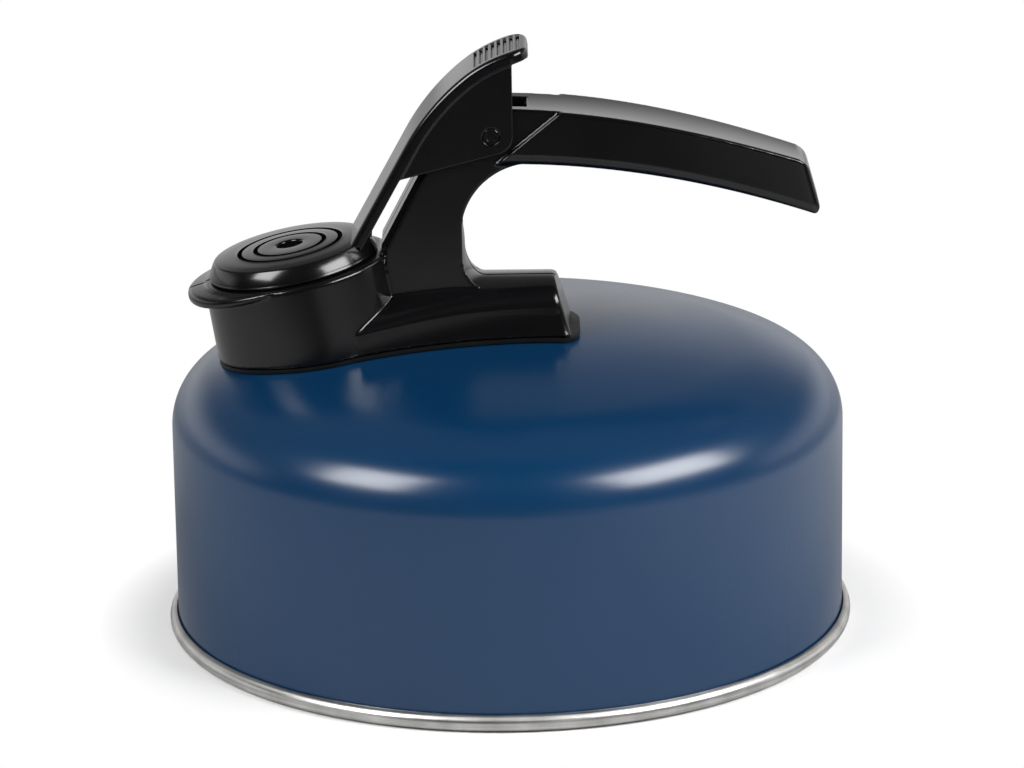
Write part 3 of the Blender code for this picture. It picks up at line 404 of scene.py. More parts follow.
class Nodes:
    """Short way to add linked nodes to a material, or to a world that is given."""

    def __init__(self, name, world=None):
        self.material = world or bpy.data.materials.new(name)
        self.material.use_nodes = True
        self.tree = self.material.node_tree
        self.shader = self.tree.nodes.get('Principled BSDF')
        self.output = self.tree.nodes.get('Material Output')

    def add(self, kind, **values):
        node = self.tree.nodes.new(kind)
        for key, value in values.items():
            setattr(node, key, value)
        return node

    def put(self, socket, value):
        if isinstance(value, bpy.types.NodeSocket):
            self.tree.links.new(value, socket)
        else:
            socket.default_value = value

    def maths(self, operation, a, b=0.0):
        node = self.add('ShaderNodeMath', operation=operation)
        self.put(node.inputs[0], a)
        self.put(node.inputs[1], b)
        return node.outputs[0]

    def place(self):
        return self.add('ShaderNodeTexCoord').outputs['Object']

    def noise(self, vector, scale, detail=3.0, roughness=0.5):
        node = self.add('ShaderNodeTexNoise')
        self.put(node.inputs['Vector'], vector)
        self.put(node.inputs['Scale'], scale)
        self.put(node.inputs['Detail'], detail)
        self.put(node.inputs['Roughness'], roughness)
        return node.outputs['Fac']

    def band(self, value, low, high, to_low, to_high, ease='LINEAR'):
        node = self.add('ShaderNodeMapRange', interpolation_type=ease)
        for name, item in (('Value', value), ('From Min', low), ('From Max', high),
                           ('To Min', to_low), ('To Max', to_high)):
            self.put(node.inputs[name], item)
        return node.outputs['Result']

    def blend(self, share, first, second):
        node = self.add('ShaderNodeMix', data_type='RGBA')
        self.put(node.inputs['Factor'], share)
        self.put(node.inputs[6], first)
        self.put(node.inputs[7], second)
        return node.outputs[2]

    def radius(self, x, y):
        squares = self.maths('ADD', self.maths('MULTIPLY', x, x), self.maths('MULTIPLY', y, y))
        return self.maths('SQRT', squares)

    def rings(self, around, across):
        """Coordinates stretched round the z axis, for turned and rolled metal."""
        parts = self.add('ShaderNodeSeparateXYZ')
        self.put(parts.inputs[0], self.place())
        x, y, z = parts.outputs
        radius = self.radius(x, y)
        turn = self.maths('ARCTAN2', y, x)
        joined = self.add('ShaderNodeCombineXYZ')
        self.put(joined.inputs[0], self.maths('MULTIPLY', radius, across))
        self.put(joined.inputs[1], self.maths('MULTIPLY', turn, around))
        self.put(joined.inputs[2], self.maths('MULTIPLY', z, across))
        return joined.outputs[0]

    def bump(self, height, strength, distance):
        node = self.add('ShaderNodeBump')
        self.put(node.inputs['Height'], height)
        node.inputs['Strength'].default_value = strength
        node.inputs['Distance'].default_value = distance
        self.put(self.shader.inputs['Normal'], node.outputs[0])

    def set(self, **values):
        for key, value in values.items():
            self.put(self.shader.inputs[key.replace('_', ' ')], value)


def blue_paint():
    n = Nodes('blue_paint_look')
    place = n.place()
    cloud = n.noise(place, 14, 3)
    colour = n.blend(n.band(cloud, 0.3, 0.7, 0, 1), (0.0007, 0.0245, 0.072, 1),
                     (0.0011, 0.0265, 0.078, 1))
    n.set(Base_Color=colour, Roughness=n.band(n.noise(place, 30, 4), 0.3, 0.7, 0.24, 0.27))
    n.shader.inputs['IOR'].default_value = 1.57
    n.bump(n.noise(place, 1500, 2), 0.05, FINE_BUMP)
    return n.material


def bare_aluminium():
    n = Nodes('bare_aluminium_look')
    streak = n.noise(n.rings(1.2, 900), 1.0, 4, 0.6)
    patch = n.noise(n.rings(9, 60), 1.0, 3, 0.5)
    share = n.maths('ADD', n.maths('MULTIPLY', streak, 0.6), n.maths('MULTIPLY', patch, 0.4))
    colour = n.blend(n.band(share, 0.35, 0.65, 0, 1), (0.38, 0.375, 0.36, 1), (0.88, 0.87, 0.85, 1))
    n.set(Base_Color=colour, Metallic=1.0, Roughness=n.band(streak, 0.3, 0.7, 0.26, 0.50))
    n.bump(streak, 0.35, 0.0001)
    return n.material


def black_plastic():
    n = Nodes('black_plastic_look')
    place = n.place()
    smear = n.noise(place, 60, 3)
    colour = n.blend(n.band(smear, 0.3, 0.7, 0, 1), (0.0022, 0.0022, 0.0026, 1),
                     (0.0034, 0.0034, 0.0038, 1))
    n.set(Base_Color=colour, Roughness=n.band(n.noise(place, 25, 4), 0.3, 0.7, 0.14, 0.19))
    n.shader.inputs['IOR'].default_value = 1.5
    n.bump(n.noise(place, 900, 2), 0.03, FINE_BUMP)
    return n.material


def painted_groove_shade():
    """Painted shade for the inside of a fine moulded groove: near black, rough and almost without
    gloss.
    """
    n = Nodes('groove_black_look')
    place = n.place()
    colour = n.blend(n.noise(place, 300, 3), (0.0010, 0.0010, 0.0012, 1), (0.0018, 0.0018, 0.0020, 1))
    n.set(Base_Color=colour, Roughness=n.band(n.noise(place, 120, 3), 0.3, 0.7, 0.6, 0.75))
    n.shader.inputs['Specular IOR Level'].default_value = 0.03
    return n.material


def silicone(name, dark, light):
    n = Nodes(name)
    place = n.place()
    colour = n.blend(n.noise(place, 300, 3), dark, light)
    n.set(Base_Color=colour, Roughness=n.band(n.noise(place, 120, 3), 0.3, 0.7, 0.38, 0.52))
    n.shader.inputs['Specular IOR Level'].default_value = 0.18
    n.bump(n.noise(place, 1200, 2), 0.1, FINE_BUMP)
    return n.material


def metal(name, dark, light, rough_low, rough_high):
    n = Nodes(name)
    place = n.place()
    fine = n.noise(place, 700, 4, 0.6)
    colour = n.blend(n.noise(place, 150, 3), dark, light)
    n.set(Base_Color=colour, Metallic=1.0, Roughness=n.band(fine, 0.3, 0.7, rough_low, rough_high))
    n.bump(fine, 0.08, FINE_BUMP)
    return n.material


BLUE = blue_paint()
ALUMINIUM = bare_aluminium()
BLACK = black_plastic()
# Painted shade, laid into the cap's grooves and the seam up the column's front
PAINTED_GROOVE_SHADE = painted_groove_shade()
BLACK_SILICONE = silicone('black_silicone_look', (0.003, 0.003, 0.003, 1), (0.006, 0.006, 0.006, 1))
GREY_SILICONE = silicone('grey_silicone_look', (0.15, 0.15, 0.15, 1), (0.20, 0.20, 0.20, 1))
STEEL = metal('steel_look', (0.50, 0.50, 0.51, 1), (0.60, 0.60, 0.61, 1), 0.22, 0.34)
BRASS = metal('brass_look', (0.70, 0.50, 0.22, 1), (0.78, 0.58, 0.28, 1), 0.24, 0.36)


def finish_nodes():
    """Give the kept CAD nodes their finished materials."""
    looks = {'grey_silicone': GREY_SILICONE, 'black_silicone': BLACK_SILICONE, 'steel': STEEL,
             'brass': BRASS, 'bare_aluminium': ALUMINIUM, 'blue_paint': BLUE,
             'black_plastic': BLACK}
    for part in frame['record']['subparts']:
        node = frame['nodes'].get(part['node'])
        if node is None:
            continue
        look = looks[part['material_slot']]
        if not node.material_slots:
            node.data.materials.append(look)
        for slot in node.material_slots:
            slot.material = look


# Body

def dome_arcs(offset):
    shoulder_r = WALL_RADIUS - SHOULDER_RADIUS
    turn = math.radians(SHOULDER_TURN)
    end = math.radians(CROWN_END)
    join_r = shoulder_r + SHOULDER_RADIUS * math.cos(turn)
    join_z = WALL_HEIGHT + SHOULDER_RADIUS * math.sin(turn)
    crown_r = join_r - CROWN_RADIUS * math.cos(turn)
    crown_z = join_z - CROWN_RADIUS * math.sin(turn)
    last_r = crown_r + CROWN_RADIUS * math.cos(end)
    last_z = crown_z + CROWN_RADIUS * math.sin(end)
    top_radius = last_r / math.cos(end)
    top_z = last_z - top_radius * math.sin(end)
    return [(shoulder_r, WALL_HEIGHT, SHOULDER_RADIUS + offset, 0, SHOULDER_TURN, 28),
            (crown_r, crown_z, CROWN_RADIUS + offset, SHOULDER_TURN, CROWN_END, 12),
            (0, top_z, top_radius + offset, CROWN_END, 90, 14)]


def dome_profile(offset):
    points = [(WALL_RADIUS + offset, WALL_HEIGHT)]
    for centre_r, centre_z, radius, start, end, count in dome_arcs(offset):
        points += arc(centre_r, centre_z, radius, start, end, count)[1:]
    points[-1] = (0, points[-1][1])
    return points


def dome_height(r, offset=0.0):
    for centre_r, centre_z, radius, _, end, _ in dome_arcs(offset):
        if r >= centre_r + radius * math.cos(math.radians(end)):
            reach = min(r - centre_r, radius)
            return centre_z + math.sqrt(radius ** 2 - reach ** 2)
    return 0.0


def dome_solid(offset, floor):
    profile = [(0, floor), (WALL_RADIUS + offset, floor)] + dome_profile(offset)
    return revolve(profile, BODY_STEPS)


def body_shell():
    """Pressing, painted outside and bare inside."""
    foot = BASE_THICKNESS + GAP
    wall = [(WALL_RADIUS, foot + (WALL_HEIGHT - foot) * i / 12) for i in range(12)]
    outer = wall + dome_profile(0)
    inner_wall = [(WALL_RADIUS - SHELL_WALL, z) for _, z in wall]
    profile = outer[::-1] + inner_wall + dome_profile(-SHELL_WALL)
    piece = make('body_shell', revolve(profile, BODY_STEPS), BLUE)
    cut(piece, rod(BORE_RADIUS + GAP, -FAR / 4, FAR / 4, TURNED_STEPS, SPOUT_FRAME))
    piece.data.materials.append(ALUMINIUM)
    for face in piece.data.polygons:
        c = face.center
        r = math.hypot(c.x, c.y)
        if c.z < WALL_HEIGHT:
            inner = r < WALL_RADIUS - SHELL_WALL / 2
        else:
            inner = c.z < dome_height(r, -SHELL_WALL / 2)
        face.material_index = 1 if inner else 0
    piece.data.shade_smooth()
    piece.data.set_sharp_from_angle(angle=math.radians(40))
    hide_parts('kettle_shell')
    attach(piece, 'kettle')


def rolled_base():
    """Disc with shallow turned steps below and its edge rolled up round the wall."""
    inside = WALL_RADIUS + GAP
    bead = arc(WALL_RADIUS, RIM_BEAD_RADIUS, RIM_BEAD_RADIUS, -90, 78, 40)
    profile = list(BASE_STEPS) + bead
    profile += [(inside, 2 * RIM_BEAD_RADIUS - GAP), (inside, BASE_THICKNESS), (0, BASE_THICKNESS)]
    piece = make('rolled_base', revolve(profile, BODY_STEPS), ALUMINIUM)
    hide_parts('base_plate')
    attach(piece, 'kettle')


# Handle moulding

def spout_point(forward, height):
    point = SPOUT_FRAME @ Vector((-forward, 0, height))
    return point.x, point.z


def cubic(factors, x):
    result = 0.0
    for factor in factors:
        result = result * x + factor
    return result


def grip_half_width(x):
    width = GRIP_HALF_WIDTH - GRIP_NARROW * (max(x - GRIP_NARROW_FROM, 0) / GRIP_NARROW_OVER) ** 2
    past = min(max(x - (GRIP_END_X - GRIP_CORNER), 0), GRIP_CORNER)
    return width - GRIP_CORNER + math.sqrt(GRIP_CORNER ** 2 - past ** 2 * 0.9)


def grip_crest(x):
    return cubic(GRIP_EDGE_CURVE, x) + GRIP_CROWN


def grip_under(x):
    return cubic(GRIP_UNDER_CURVE, x)


def grip_section(x, lean):
    top = grip_crest(x)
    under = grip_under(x)
    half = grip_half_width(x)
    flat = half - GRIP_EDGE_ROUND
    edge = top - GRIP_CROWN
    right = [(flat * i / 10, top - GRIP_CROWN * (i / 10) ** 2) for i in range(10)]
    right += arc(flat, edge - GRIP_EDGE_ROUND, GRIP_EDGE_ROUND, 90, 0, 6)
    right.append((half, under + GRIP_UNDER_TAPER))
    narrow = half - GRIP_UNDER_INSET
    right += arc(narrow - GRIP_UNDER_ROUND, under + GRIP_UNDER_ROUND, GRIP_UNDER_ROUND, 0, -90, 9)
    left = [(-y, z) for y, z in right[::-1] if y > 0]
    spread = math.tan(math.radians(lean))
    return [Vector((x + (top - z) * spread, y, z)) for y, z in right + left]


def front_face():
    slope = math.radians(COLUMN_FRONT_SLOPE)
    head = arc(PIVOT.x, PIVOT.z, COLUMN_FRONT_RADIUS, COLUMN_FRONT_SLOPE + 90, 100, 30)
    tangent_x, tangent_z = head[0]
    foot_z = tangent_z - (tangent_x - COLUMN_FOOT_X) * math.tan(slope)
    return [(COLUMN_FOOT_X, SADDLE_CREST_Z - COLUMN_ROOT), (COLUMN_FOOT_X, foot_z)] + head


def corner_cutter(before, corner, after, radius):
    """Takes a convex corner off a side view and leaves a round one."""
    first = (before - corner).normalized()
    second = (after - corner).normalized()
    middle = (first + second).normalized()
    half_angle = first.angle(second) / 2
    centre = corner + middle * (radius / math.sin(half_angle))
    start = corner + first * (radius / math.tan(half_angle))
    end = corner + second * (radius / math.tan(half_angle))
    from_start = start - centre
    sweep = from_start.angle_signed(end - centre)
    outline = []
    for i in range(13):
        a = -sweep * i / 12
        outline.append((centre.x + from_start.x * math.cos(a) - from_start.y * math.sin(a),
                        centre.y + from_start.x * math.sin(a) + from_start.y * math.cos(a)))
    away = corner - middle * radius
    outline += [tuple(end - middle * radius), tuple(away), tuple(start - middle * radius)]
    return prism(outline, -2 * GRIP_HALF_WIDTH, 2 * GRIP_HALF_WIDTH)


def grip_bar():
    start = PIVOT.x - COLUMN_FRONT_RADIUS - TRIM
    stations = [i / 56 for i in range(55)] + [0.982 + 0.018 * i / 10 for i in range(11)]
    sections = []
    for share in stations:
        sections.append(grip_section(start + (GRIP_END_X - start) * share,
                                     GRIP_END_LEAN * share ** 2))
    piece = make('grip_bar', loft(sections))
    outline = front_face() + [(FAR, PIVOT.z + FAR), (FAR, SADDLE_CREST_Z)]
    keep(piece, prism(outline, -2 * GRIP_HALF_WIDTH, 2 * GRIP_HALF_WIDTH))
    inner = GRIP_END_X - 2 * TRIM
    lean = math.tan(math.radians(GRIP_END_LEAN))
    top = Vector((GRIP_END_X, grip_crest(GRIP_END_X)))
    under_z = grip_under(GRIP_END_X)
    low = Vector((GRIP_END_X + (top.y - under_z) * lean, under_z))
    cut(piece, corner_cutter(Vector((inner, grip_crest(inner))), top, low, GRIP_END_ROUND_TOP),
        corner_cutter(top, low, Vector((inner, grip_under(inner))), GRIP_END_ROUND_UNDER))
    return piece


def hinge_recess(side):
    slope = math.radians(STEP_SLOPE)
    along = Vector((math.cos(slope), 0, math.sin(slope)))
    across = Vector((math.sin(slope), 0, -math.cos(slope)))
    on_step = PIVOT + across * STEP_OFFSET
    low = on_step - along * FAR / 4
    high = on_step + along * FAR / 4
    edges = sorted((side * COLUMN_HALF_WIDTH, side * 2 * GRIP_HALF_WIDTH))
    return prism([(low.x, low.z), (high.x, high.z), (low.x, high.z)], *edges)


def column():
    front = front_face()[:6]
    rear = arc(HAND_ARC_X, HAND_ARC_Z, HAND_ARC_RADIUS, 90, 180, 48)
    outline = front + [(HAND_ARC_X, front[-1][1])] + rear
    outline.append((HAND_ARC_X - HAND_ARC_RADIUS, SADDLE_CREST_Z - COLUMN_ROOT))
    return prism(outline, -COLUMN_HALF_WIDTH, COLUMN_HALF_WIDTH)


def spring_floor_point(reach):
    a = math.radians(COIL_LOWER_ANGLE)
    below = COIL_RADIUS + WIRE_RADIUS + GAP
    return (PIVOT.x + below * math.cos(a) + reach * math.sin(a),
            PIVOT.z + below * math.sin(a) - reach * math.cos(a))


def spring_slot():
    rear = PIVOT.x + SPRING_SLOT_REAR
    front_floor = spring_floor_point(SLOT_REACH)
    rear_reach = -(rear - spring_floor_point(0)[0]) / math.cos(math.radians(90 + COIL_LOWER_ANGLE))
    outline = [spring_floor_point(rear_reach), (rear, PIVOT.z + SLOT_REACH)]
    outline += [(front_floor[0], PIVOT.z + SLOT_REACH), front_floor]
    return prism(outline, -SPRING_SLOT_HALF_WIDTH, SPRING_SLOT_HALF_WIDTH)


def front_directions():
    """Up the column's front face, and out of it."""
    slope = math.radians(COLUMN_FRONT_SLOPE)
    along = Vector((math.cos(slope), 0, math.sin(slope)))
    return along, Vector((-math.sin(slope), 0, math.cos(slope)))


def front_plate():
    """Raised plate up the column's front, its back buried in the column."""
    reach = COLUMN_FRONT_RADIUS + FRONT_PLATE_RISE
    head = arc(PIVOT.x, PIVOT.z, reach, COLUMN_FRONT_SLOPE + 90, FRONT_PLATE_END, 10)
    foot_x = COLUMN_FOOT_X - FRONT_PLATE_RISE
    foot_z = head[0][1] - (head[0][0] - foot_x) * math.tan(math.radians(COLUMN_FRONT_SLOPE))
    outline = [(foot_x, SADDLE_CREST_Z - COLUMN_ROOT), (foot_x, foot_z)] + head
    buried = [(x + FRONT_PLATE_THICKNESS, z) for x, z in reversed(outline)]
    return prism(outline + buried, -FRONT_PLATE_HALF_WIDTH, FRONT_PLATE_HALF_WIDTH)


def front_seam():
    """The parting seam goes on up the front plate."""
    along, out = front_directions()
    floor = PIVOT + out * (COLUMN_FRONT_RADIUS + FRONT_PLATE_RISE - SEAM_DEPTH)
    low = floor - along * FRONT_SEAM_LENGTH
    corners = [low, floor, floor + out * TRIM, low + out * TRIM]
    return prism([(p.x, p.z) for p in corners], -SEAM_WIDTH / 2, SEAM_WIDTH / 2)


def darken_seam(piece):
    """The inside of the seam up the front plate is out of the light, so its faces get the painted
    groove shade.
    """
    along, out = front_directions()
    piece.data.materials.append(PAINTED_GROOVE_SHADE)
    for face in piece.data.polygons:
        place = face.center - PIVOT
        depth = COLUMN_FRONT_RADIUS + FRONT_PLATE_RISE - place.dot(out)
        ahead = -FRONT_SEAM_LENGTH < place.dot(along) < FINE
        if ahead and abs(place.y) < SEAM_WIDTH / 2 + FINE and SEAM_SKIN < depth < SEAM_DEPTH + FINE:
            face.material_index = 1


def pin_bore(half_length):
    return rod(PIN_RADIUS + PIN_CLEARANCE, -half_length, half_length, 96, PIN_FRAME)


def saddle_half_width(x):
    share = max(HEEL_X - x, 0) / (HEEL_X - SADDLE_FRONT_X)
    return HEEL_HALF_WIDTH + (SADDLE_FRONT_HALF_WIDTH - HEEL_HALF_WIDTH) * share ** SADDLE_WIDTH_POWER


def saddle_shape(x):
    """Foot and ridge half-widths, ridge and crest heights, and the section's roundness."""
    share = max(HEEL_X - x, 0) / (HEEL_X - SADDLE_FRONT_X)
    foot_y = saddle_half_width(x) + SKIRT_FLARE
    inside = math.sqrt(max(RING_RADIUS ** 2 - (x - RING_X) ** 2, 0))
    if x < RING_START_X:
        foot_y = min(foot_y, inside - GAP + max(x - RING_JOIN_X, 0) * RING_JOIN_SLOPE)
    ridge_y = foot_y - SKIRT_FLARE * max(1 - share * SKIRT_NARROWING, SKIRT_LEAST)
    dome_z = dome_height(math.hypot(x, foot_y))
    ridge_z = dome_z + RIDGE_RISE_HEEL + RIDGE_RISE_SLOPE * share + RIDGE_RISE_BEND * share ** 2
    fall = max(share - CREST_FALL_FROM, 0) / (1 - CREST_FALL_FROM)
    crest_z = SADDLE_CREST_Z - (SADDLE_CREST_Z - SADDLE_FRONT_CREST_Z) * fall
    power = ROUNDNESS_HEEL - min(share / ROUNDNESS_LOSS_BY, 1)
    past = max(x - (HEEL_X - HEEL_CORNER_RADIUS), 0) / HEEL_CORNER_RADIUS
    corner = 1 - math.sqrt(max(1 - past ** 2, 0))
    foot_y -= HEEL_CORNER_RADIUS * corner
    ridge_y -= HEEL_CORNER_RADIUS * corner
    crest_z -= HEEL_TOP_DROP * corner
    return foot_y, ridge_y, dome_z, ridge_z, crest_z, power


def saddle_top(x, y):
    """Height of the saddle's upper surface."""
    _, ridge_y, _, ridge_z, crest_z, power = saddle_shape(x)
    share = min(abs(y) / ridge_y, 1)
    return ridge_z + (crest_z - ridge_z) * (1 - share ** power) ** (1 / power)


def saddle_section(x, lean):
    foot_y, ridge_y, dome_z, ridge_z, crest_z, power = saddle_shape(x)
    right = []
    for i in range(30):
        a = math.radians(90 - 90 * i / 29)
        y = ridge_y * math.cos(a) ** (2 / power)
        right.append((y, ridge_z + (crest_z - ridge_z) * math.sin(a) ** (2 / power)))
    right[0] = (0, crest_z)
    right[-1] = (ridge_y, ridge_z)
    # The skirt under the ridge is a shallow hollow
    for i in range(1, 13):
        share = i / 12
        flare = 1 - math.sqrt(1 - share ** 2)
        y = ridge_y + (foot_y - ridge_y) * (SKIRT_STRAIGHT * share + (1 - SKIRT_STRAIGHT) * flare)
        right.append((y, ridge_z + (dome_z - ridge_z) * share))
    right.append((foot_y, dome_z - SKIRT_ROOT))
    left = [(-y, z) for y, z in right[::-1] if y > 0]
    spread = math.tan(math.radians(lean))
    return [Vector((x + (SADDLE_CREST_Z - z) * spread, y, z)) for y, z in right + left]


def rear_line(y):
    """Back of the column at one side position, down its fillet onto the saddle."""
    back_x = HAND_ARC_X - HAND_ARC_RADIUS
    roundness = 1 - (y / COLUMN_HALF_WIDTH) ** 2
    bulge = REAR_CROWN * roundness
    radius = FOOT_FILLET_EDGE + (FOOT_FILLET - FOOT_FILLET_EDGE) * roundness
    centre_x = back_x + bulge + radius
    tall = radius * FOOT_FILLET_STRETCH
    curve = [(x, saddle_top(centre_x, y) + tall + z * FOOT_FILLET_STRETCH)
             for x, z in arc(centre_x, 0, radius, 180, 268, 24)]
    line = []
    for i in range(16):
        share = i / 16
        z = REAR_CROWN_TOP + (curve[0][1] - REAR_CROWN_TOP) * share
        above = max(z - HAND_ARC_Z, 0)
        x = HAND_ARC_X - math.sqrt(HAND_ARC_RADIUS ** 2 - above ** 2)
        line.append((x + bulge * share ** 2 * (3 - 2 * share), z))
    return line + curve


def foot_fillet():
    """Crowned back of the column with a fillet that follows the saddle's rounded top."""
    inner_x = HAND_ARC_X - HAND_ARC_RADIUS - TRIM
    deep = SADDLE_CREST_Z - COLUMN_ROOT
    sections = []
    count = 36
    for i in range(count + 1):
        y = COLUMN_HALF_WIDTH * (2 * i / count - 1)
        line = rear_line(y)
        outline = [(inner_x, deep), (inner_x, REAR_CROWN_TOP)] + line + [(line[-1][0], deep)]
        sections.append([Vector((x, y, z)) for x, z in outline])
    return loft(sections)


def parting_seam():
    """Fine groove on the plane of symmetry, down the column's back and along the heel."""
    line = [(x - SEAM_DEPTH, z - SEAM_DEPTH) for x, z in rear_line(0)]
    end = HEEL_X + 2 * TRIM
    line.append((end, SADDLE_CREST_Z - SEAM_DEPTH))
    line.append((end, REAR_CROWN_TOP - SEAM_DEPTH))
    return prism(line, -SEAM_WIDTH / 2, SEAM_WIDTH / 2)


def saddle():
    start = HEEL_X - HEEL_CORNER_RADIUS
    stations = [SADDLE_FRONT_X + (start - SADDLE_FRONT_X) * i / 40 for i in range(40)]
    stations += [start + HEEL_CORNER_RADIUS * math.sin(math.pi / 2 * i / 12) for i in range(13)]
    sections = []
    for x in stations:
        share = (x - SADDLE_FRONT_X) / (HEEL_X - SADDLE_FRONT_X)
        sections.append(saddle_section(x, HEEL_LEAN * share ** 4))
    return loft(sections)


def neck():
    top = arc(NECK_TOP_RADIUS - NECK_EDGE_ROUND, -NECK_EDGE_ROUND, NECK_EDGE_ROUND, 0, 90, 8)
    profile = [(0, -NECK_LENGTH), (NECK_FOOT_RADIUS, -NECK_LENGTH)] + top + [(0, 0)]
    return revolve(profile, TURNED_STEPS, NECK_FRAME)


def pouring_lip():
    """Lip that grows out of the neck's top edge towards the front."""
    ahead = LIP_REACH + NECK_SETBACK
    inner = NECK_TOP_RADIUS - TRIM
    sections = []
    for i in range(81):
        turn = math.radians(LIP_SPREAD * (2 * i / 80 - 1))
        reach = ahead * math.cos(turn)
        reach += math.sqrt(LIP_RADIUS ** 2 - (ahead * math.sin(turn)) ** 2)
        share = max(reach - NECK_TOP_RADIUS, 0) / LIP_FULL_REACH
        fall = LIP_FALL * min(share * LIP_FALL_RATE, 1)
        thick = LIP_THICKNESS * (LIP_LEAST + (1 - LIP_LEAST) * min(share, 1))
        rounding = thick * LIP_ROUNDING
        edge = reach - rounding
        upper = arc(edge, -fall - rounding, rounding, 80, 0, 8)
        lower = arc(edge, -fall - thick + rounding, rounding, 0, -60, 8)
        outline = [(inner, -LIP_INSET)] + upper + lower
        outline.append((inner, -fall - thick - (edge - inner) * LIP_UNDER_SLOPE))
        sections.append([NECK_FRAME @ Vector((-r * math.cos(turn), r * math.sin(turn), h))
                         for r, h in outline])
    return loft(sections)


def mouth_cutter():
    side = MOUTH_CHAMFER
    profile = [(0, -2 * NECK_LENGTH), (BORE_RADIUS, -2 * NECK_LENGTH), (BORE_RADIUS, -side),
               (BORE_RADIUS + 2 * side, side), (0, side)]
    turned = SPOUT_FRAME @ Matrix.Rotation(math.pi / TURNED_STEPS, 4, 'Z')
    return revolve(profile, TURNED_STEPS, turned)


def handle():
    """Neck, lip, saddle, column and grip, fused as one moulding."""
    grip = grip_bar()
    cut(grip, hinge_recess(1), hinge_recess(-1), spring_slot(), pin_bore(COLUMN_BORE_HALF))
    upright = make('upright', column())
    plate = make('plate', front_plate())
    for post in (upright, plate):
        cut(post, spring_slot(), pin_bore(COLUMN_BORE_HALF))
    pieces = [make('neck', neck()), make('lip', pouring_lip()), make('saddle', saddle())]
    pieces.append(make('foot_fillet', foot_fillet()))
    floor = GASKET_THICKNESS + 2 * GAP
    for rough in pieces:
        cut(rough, dome_solid(floor, WALL_HEIGHT / 2), mouth_cutter())
    piece = fuse('handle', pieces + [grip, upright, plate], BLACK, HANDLE_VOXEL, 3)
    deep = -LIP_FALL - LIP_NOTCH_DEPTH
    groove = [spout_point(r, h) for r, h in ((CAP_RADIUS - TRIM, deep), (FAR, deep), (FAR, TRIM),
                                             (CAP_RADIUS - TRIM, TRIM))]
    cut(piece, prism(groove, -LIP_NOTCH / 2, LIP_NOTCH / 2), parting_seam(), front_seam())
    darken_seam(piece)
    piece.data.set_sharp_from_angle(angle=math.radians(60))
    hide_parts('handle_moulding')
    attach(piece, 'kettle')


# Lever

def outwards(turn):
    return Vector((-math.sin(turn), 0, math.cos(turn)))


def strap_place(distance):
    turn = math.radians(STRAP_SLOPE)
    place = STRAP_START.copy()
    if distance < 0:
        return place + Vector((math.cos(turn), 0, math.sin(turn))) * distance, turn
    for radius, bend in STRAP_BENDS:
        step = min(distance, radius * math.radians(bend))
        centre = place - outwards(turn) * radius
        turn -= step / radius
        place = centre + outwards(turn) * radius
        distance -= step
    return place, turn


def strap_point(distance, depth):
    place, turn = strap_place(distance)
    return place - outwards(turn) * depth


def strap_length():
    return sum(radius * math.radians(bend) for radius, bend in STRAP_BENDS)


def strap_section(distance, half_width, drop):
    right = []
    for i in range(9):
        a = math.pi / 2 * i / 8
        right.append((half_width - STRAP_EDGE_ROUND * (1 - math.sin(a)),
                      drop + STRAP_EDGE_ROUND * (1 - math.cos(a))))
    right.append((half_width, STRAP_THICKNESS))
    points = []
    for y, depth in [(-y, depth) for y, depth in right[::-1]] + right:
        place = strap_point(distance, depth)
        points.append(Vector((place.x, y, place.z)))
    return points


def strap():
    end = strap_length()
    bends = 44
    stations = [STRAP_FOOT, STRAP_FOOT / 2, 0]
    stations += [(end - PAD_CORNER_RADIUS) * (i + 1) / bends for i in range(bends)]
    sections = [strap_section(s, STRAP_HALF_WIDTH, 0) for s in stations]
    for i in range(1, 13):
        a = math.radians(85 * i / 12)
        half = STRAP_HALF_WIDTH - PAD_CORNER_RADIUS * (1 - math.cos(a))
        drop = PAD_END_DROP * (1 - math.cos(a)) ** 2
        sections.append(strap_section(end - PAD_CORNER_RADIUS * (1 - math.sin(a)), half, drop))
    return loft(sections)


def cheek(side):
    corner = arc(PIVOT.x + CHEEK_CORNER_SHIFT, PIVOT.z, CHEEK_CORNER_RADIUS,
                 0, CHEEK_LOWER_SLOPE - 90, 24)
    rear_x = corner[0][0]
    low_x, low_z = corner[-1]
    slope = math.tan(math.radians(CHEEK_LOWER_SLOPE))
    steps = 80
    length = strap_length()
    upper = []
    for i in range(steps + 1):
        place = strap_point(length - (length + CHEEK_REACH) * i / steps, STRAP_THICKNESS / 2)
        if place.x <= rear_x and place.z > low_z - (low_x - place.x) * slope:
            upper.append((place.x, place.z))
    foot_x = upper[-1][0]
    outline = corner + [(foot_x, low_z - (low_x - foot_x) * slope)] + upper[::-1]
    outline.append((rear_x, upper[0][1]))
    inner = COLUMN_HALF_WIDTH + CHEEK_GAP
    edges = sorted((side * inner, side * (inner + CHEEK_THICKNESS)))
    return prism(outline, *edges)


def cap_height(radius):
    return CAP_EDGE_HEIGHT + CAP_CROWN * (1 - (radius / CAP_TOP_RADIUS) ** 2)


def cap_core():
    middle = CAP_WALL / 2
    return rod(CAP_RADIUS - middle, -NECK_LENGTH, CAP_EDGE_HEIGHT - middle, 120, SPOUT_FRAME)


def pad_grooves():
    cutters = []
    for i in range(PAD_RIB_COUNT):
        place, turn = strap_place(strap_length() - PAD_RIB_FIRST - i * PAD_RIB_PITCH)
        at = Matrix.Translation(place) @ Matrix.Rotation(-turn, 4, 'Y')
        half = PAD_RIB_WIDTH / 2
        outline = [(-half, -PAD_RIB_DEPTH), (half, -PAD_RIB_DEPTH), (half, PAD_RIB_WIDTH),
                   (-half, PAD_RIB_WIDTH)]
        cutters.append(prism(outline, -PAD_RIB_HALF_LENGTH, PAD_RIB_HALF_LENGTH, at))
    return cutters


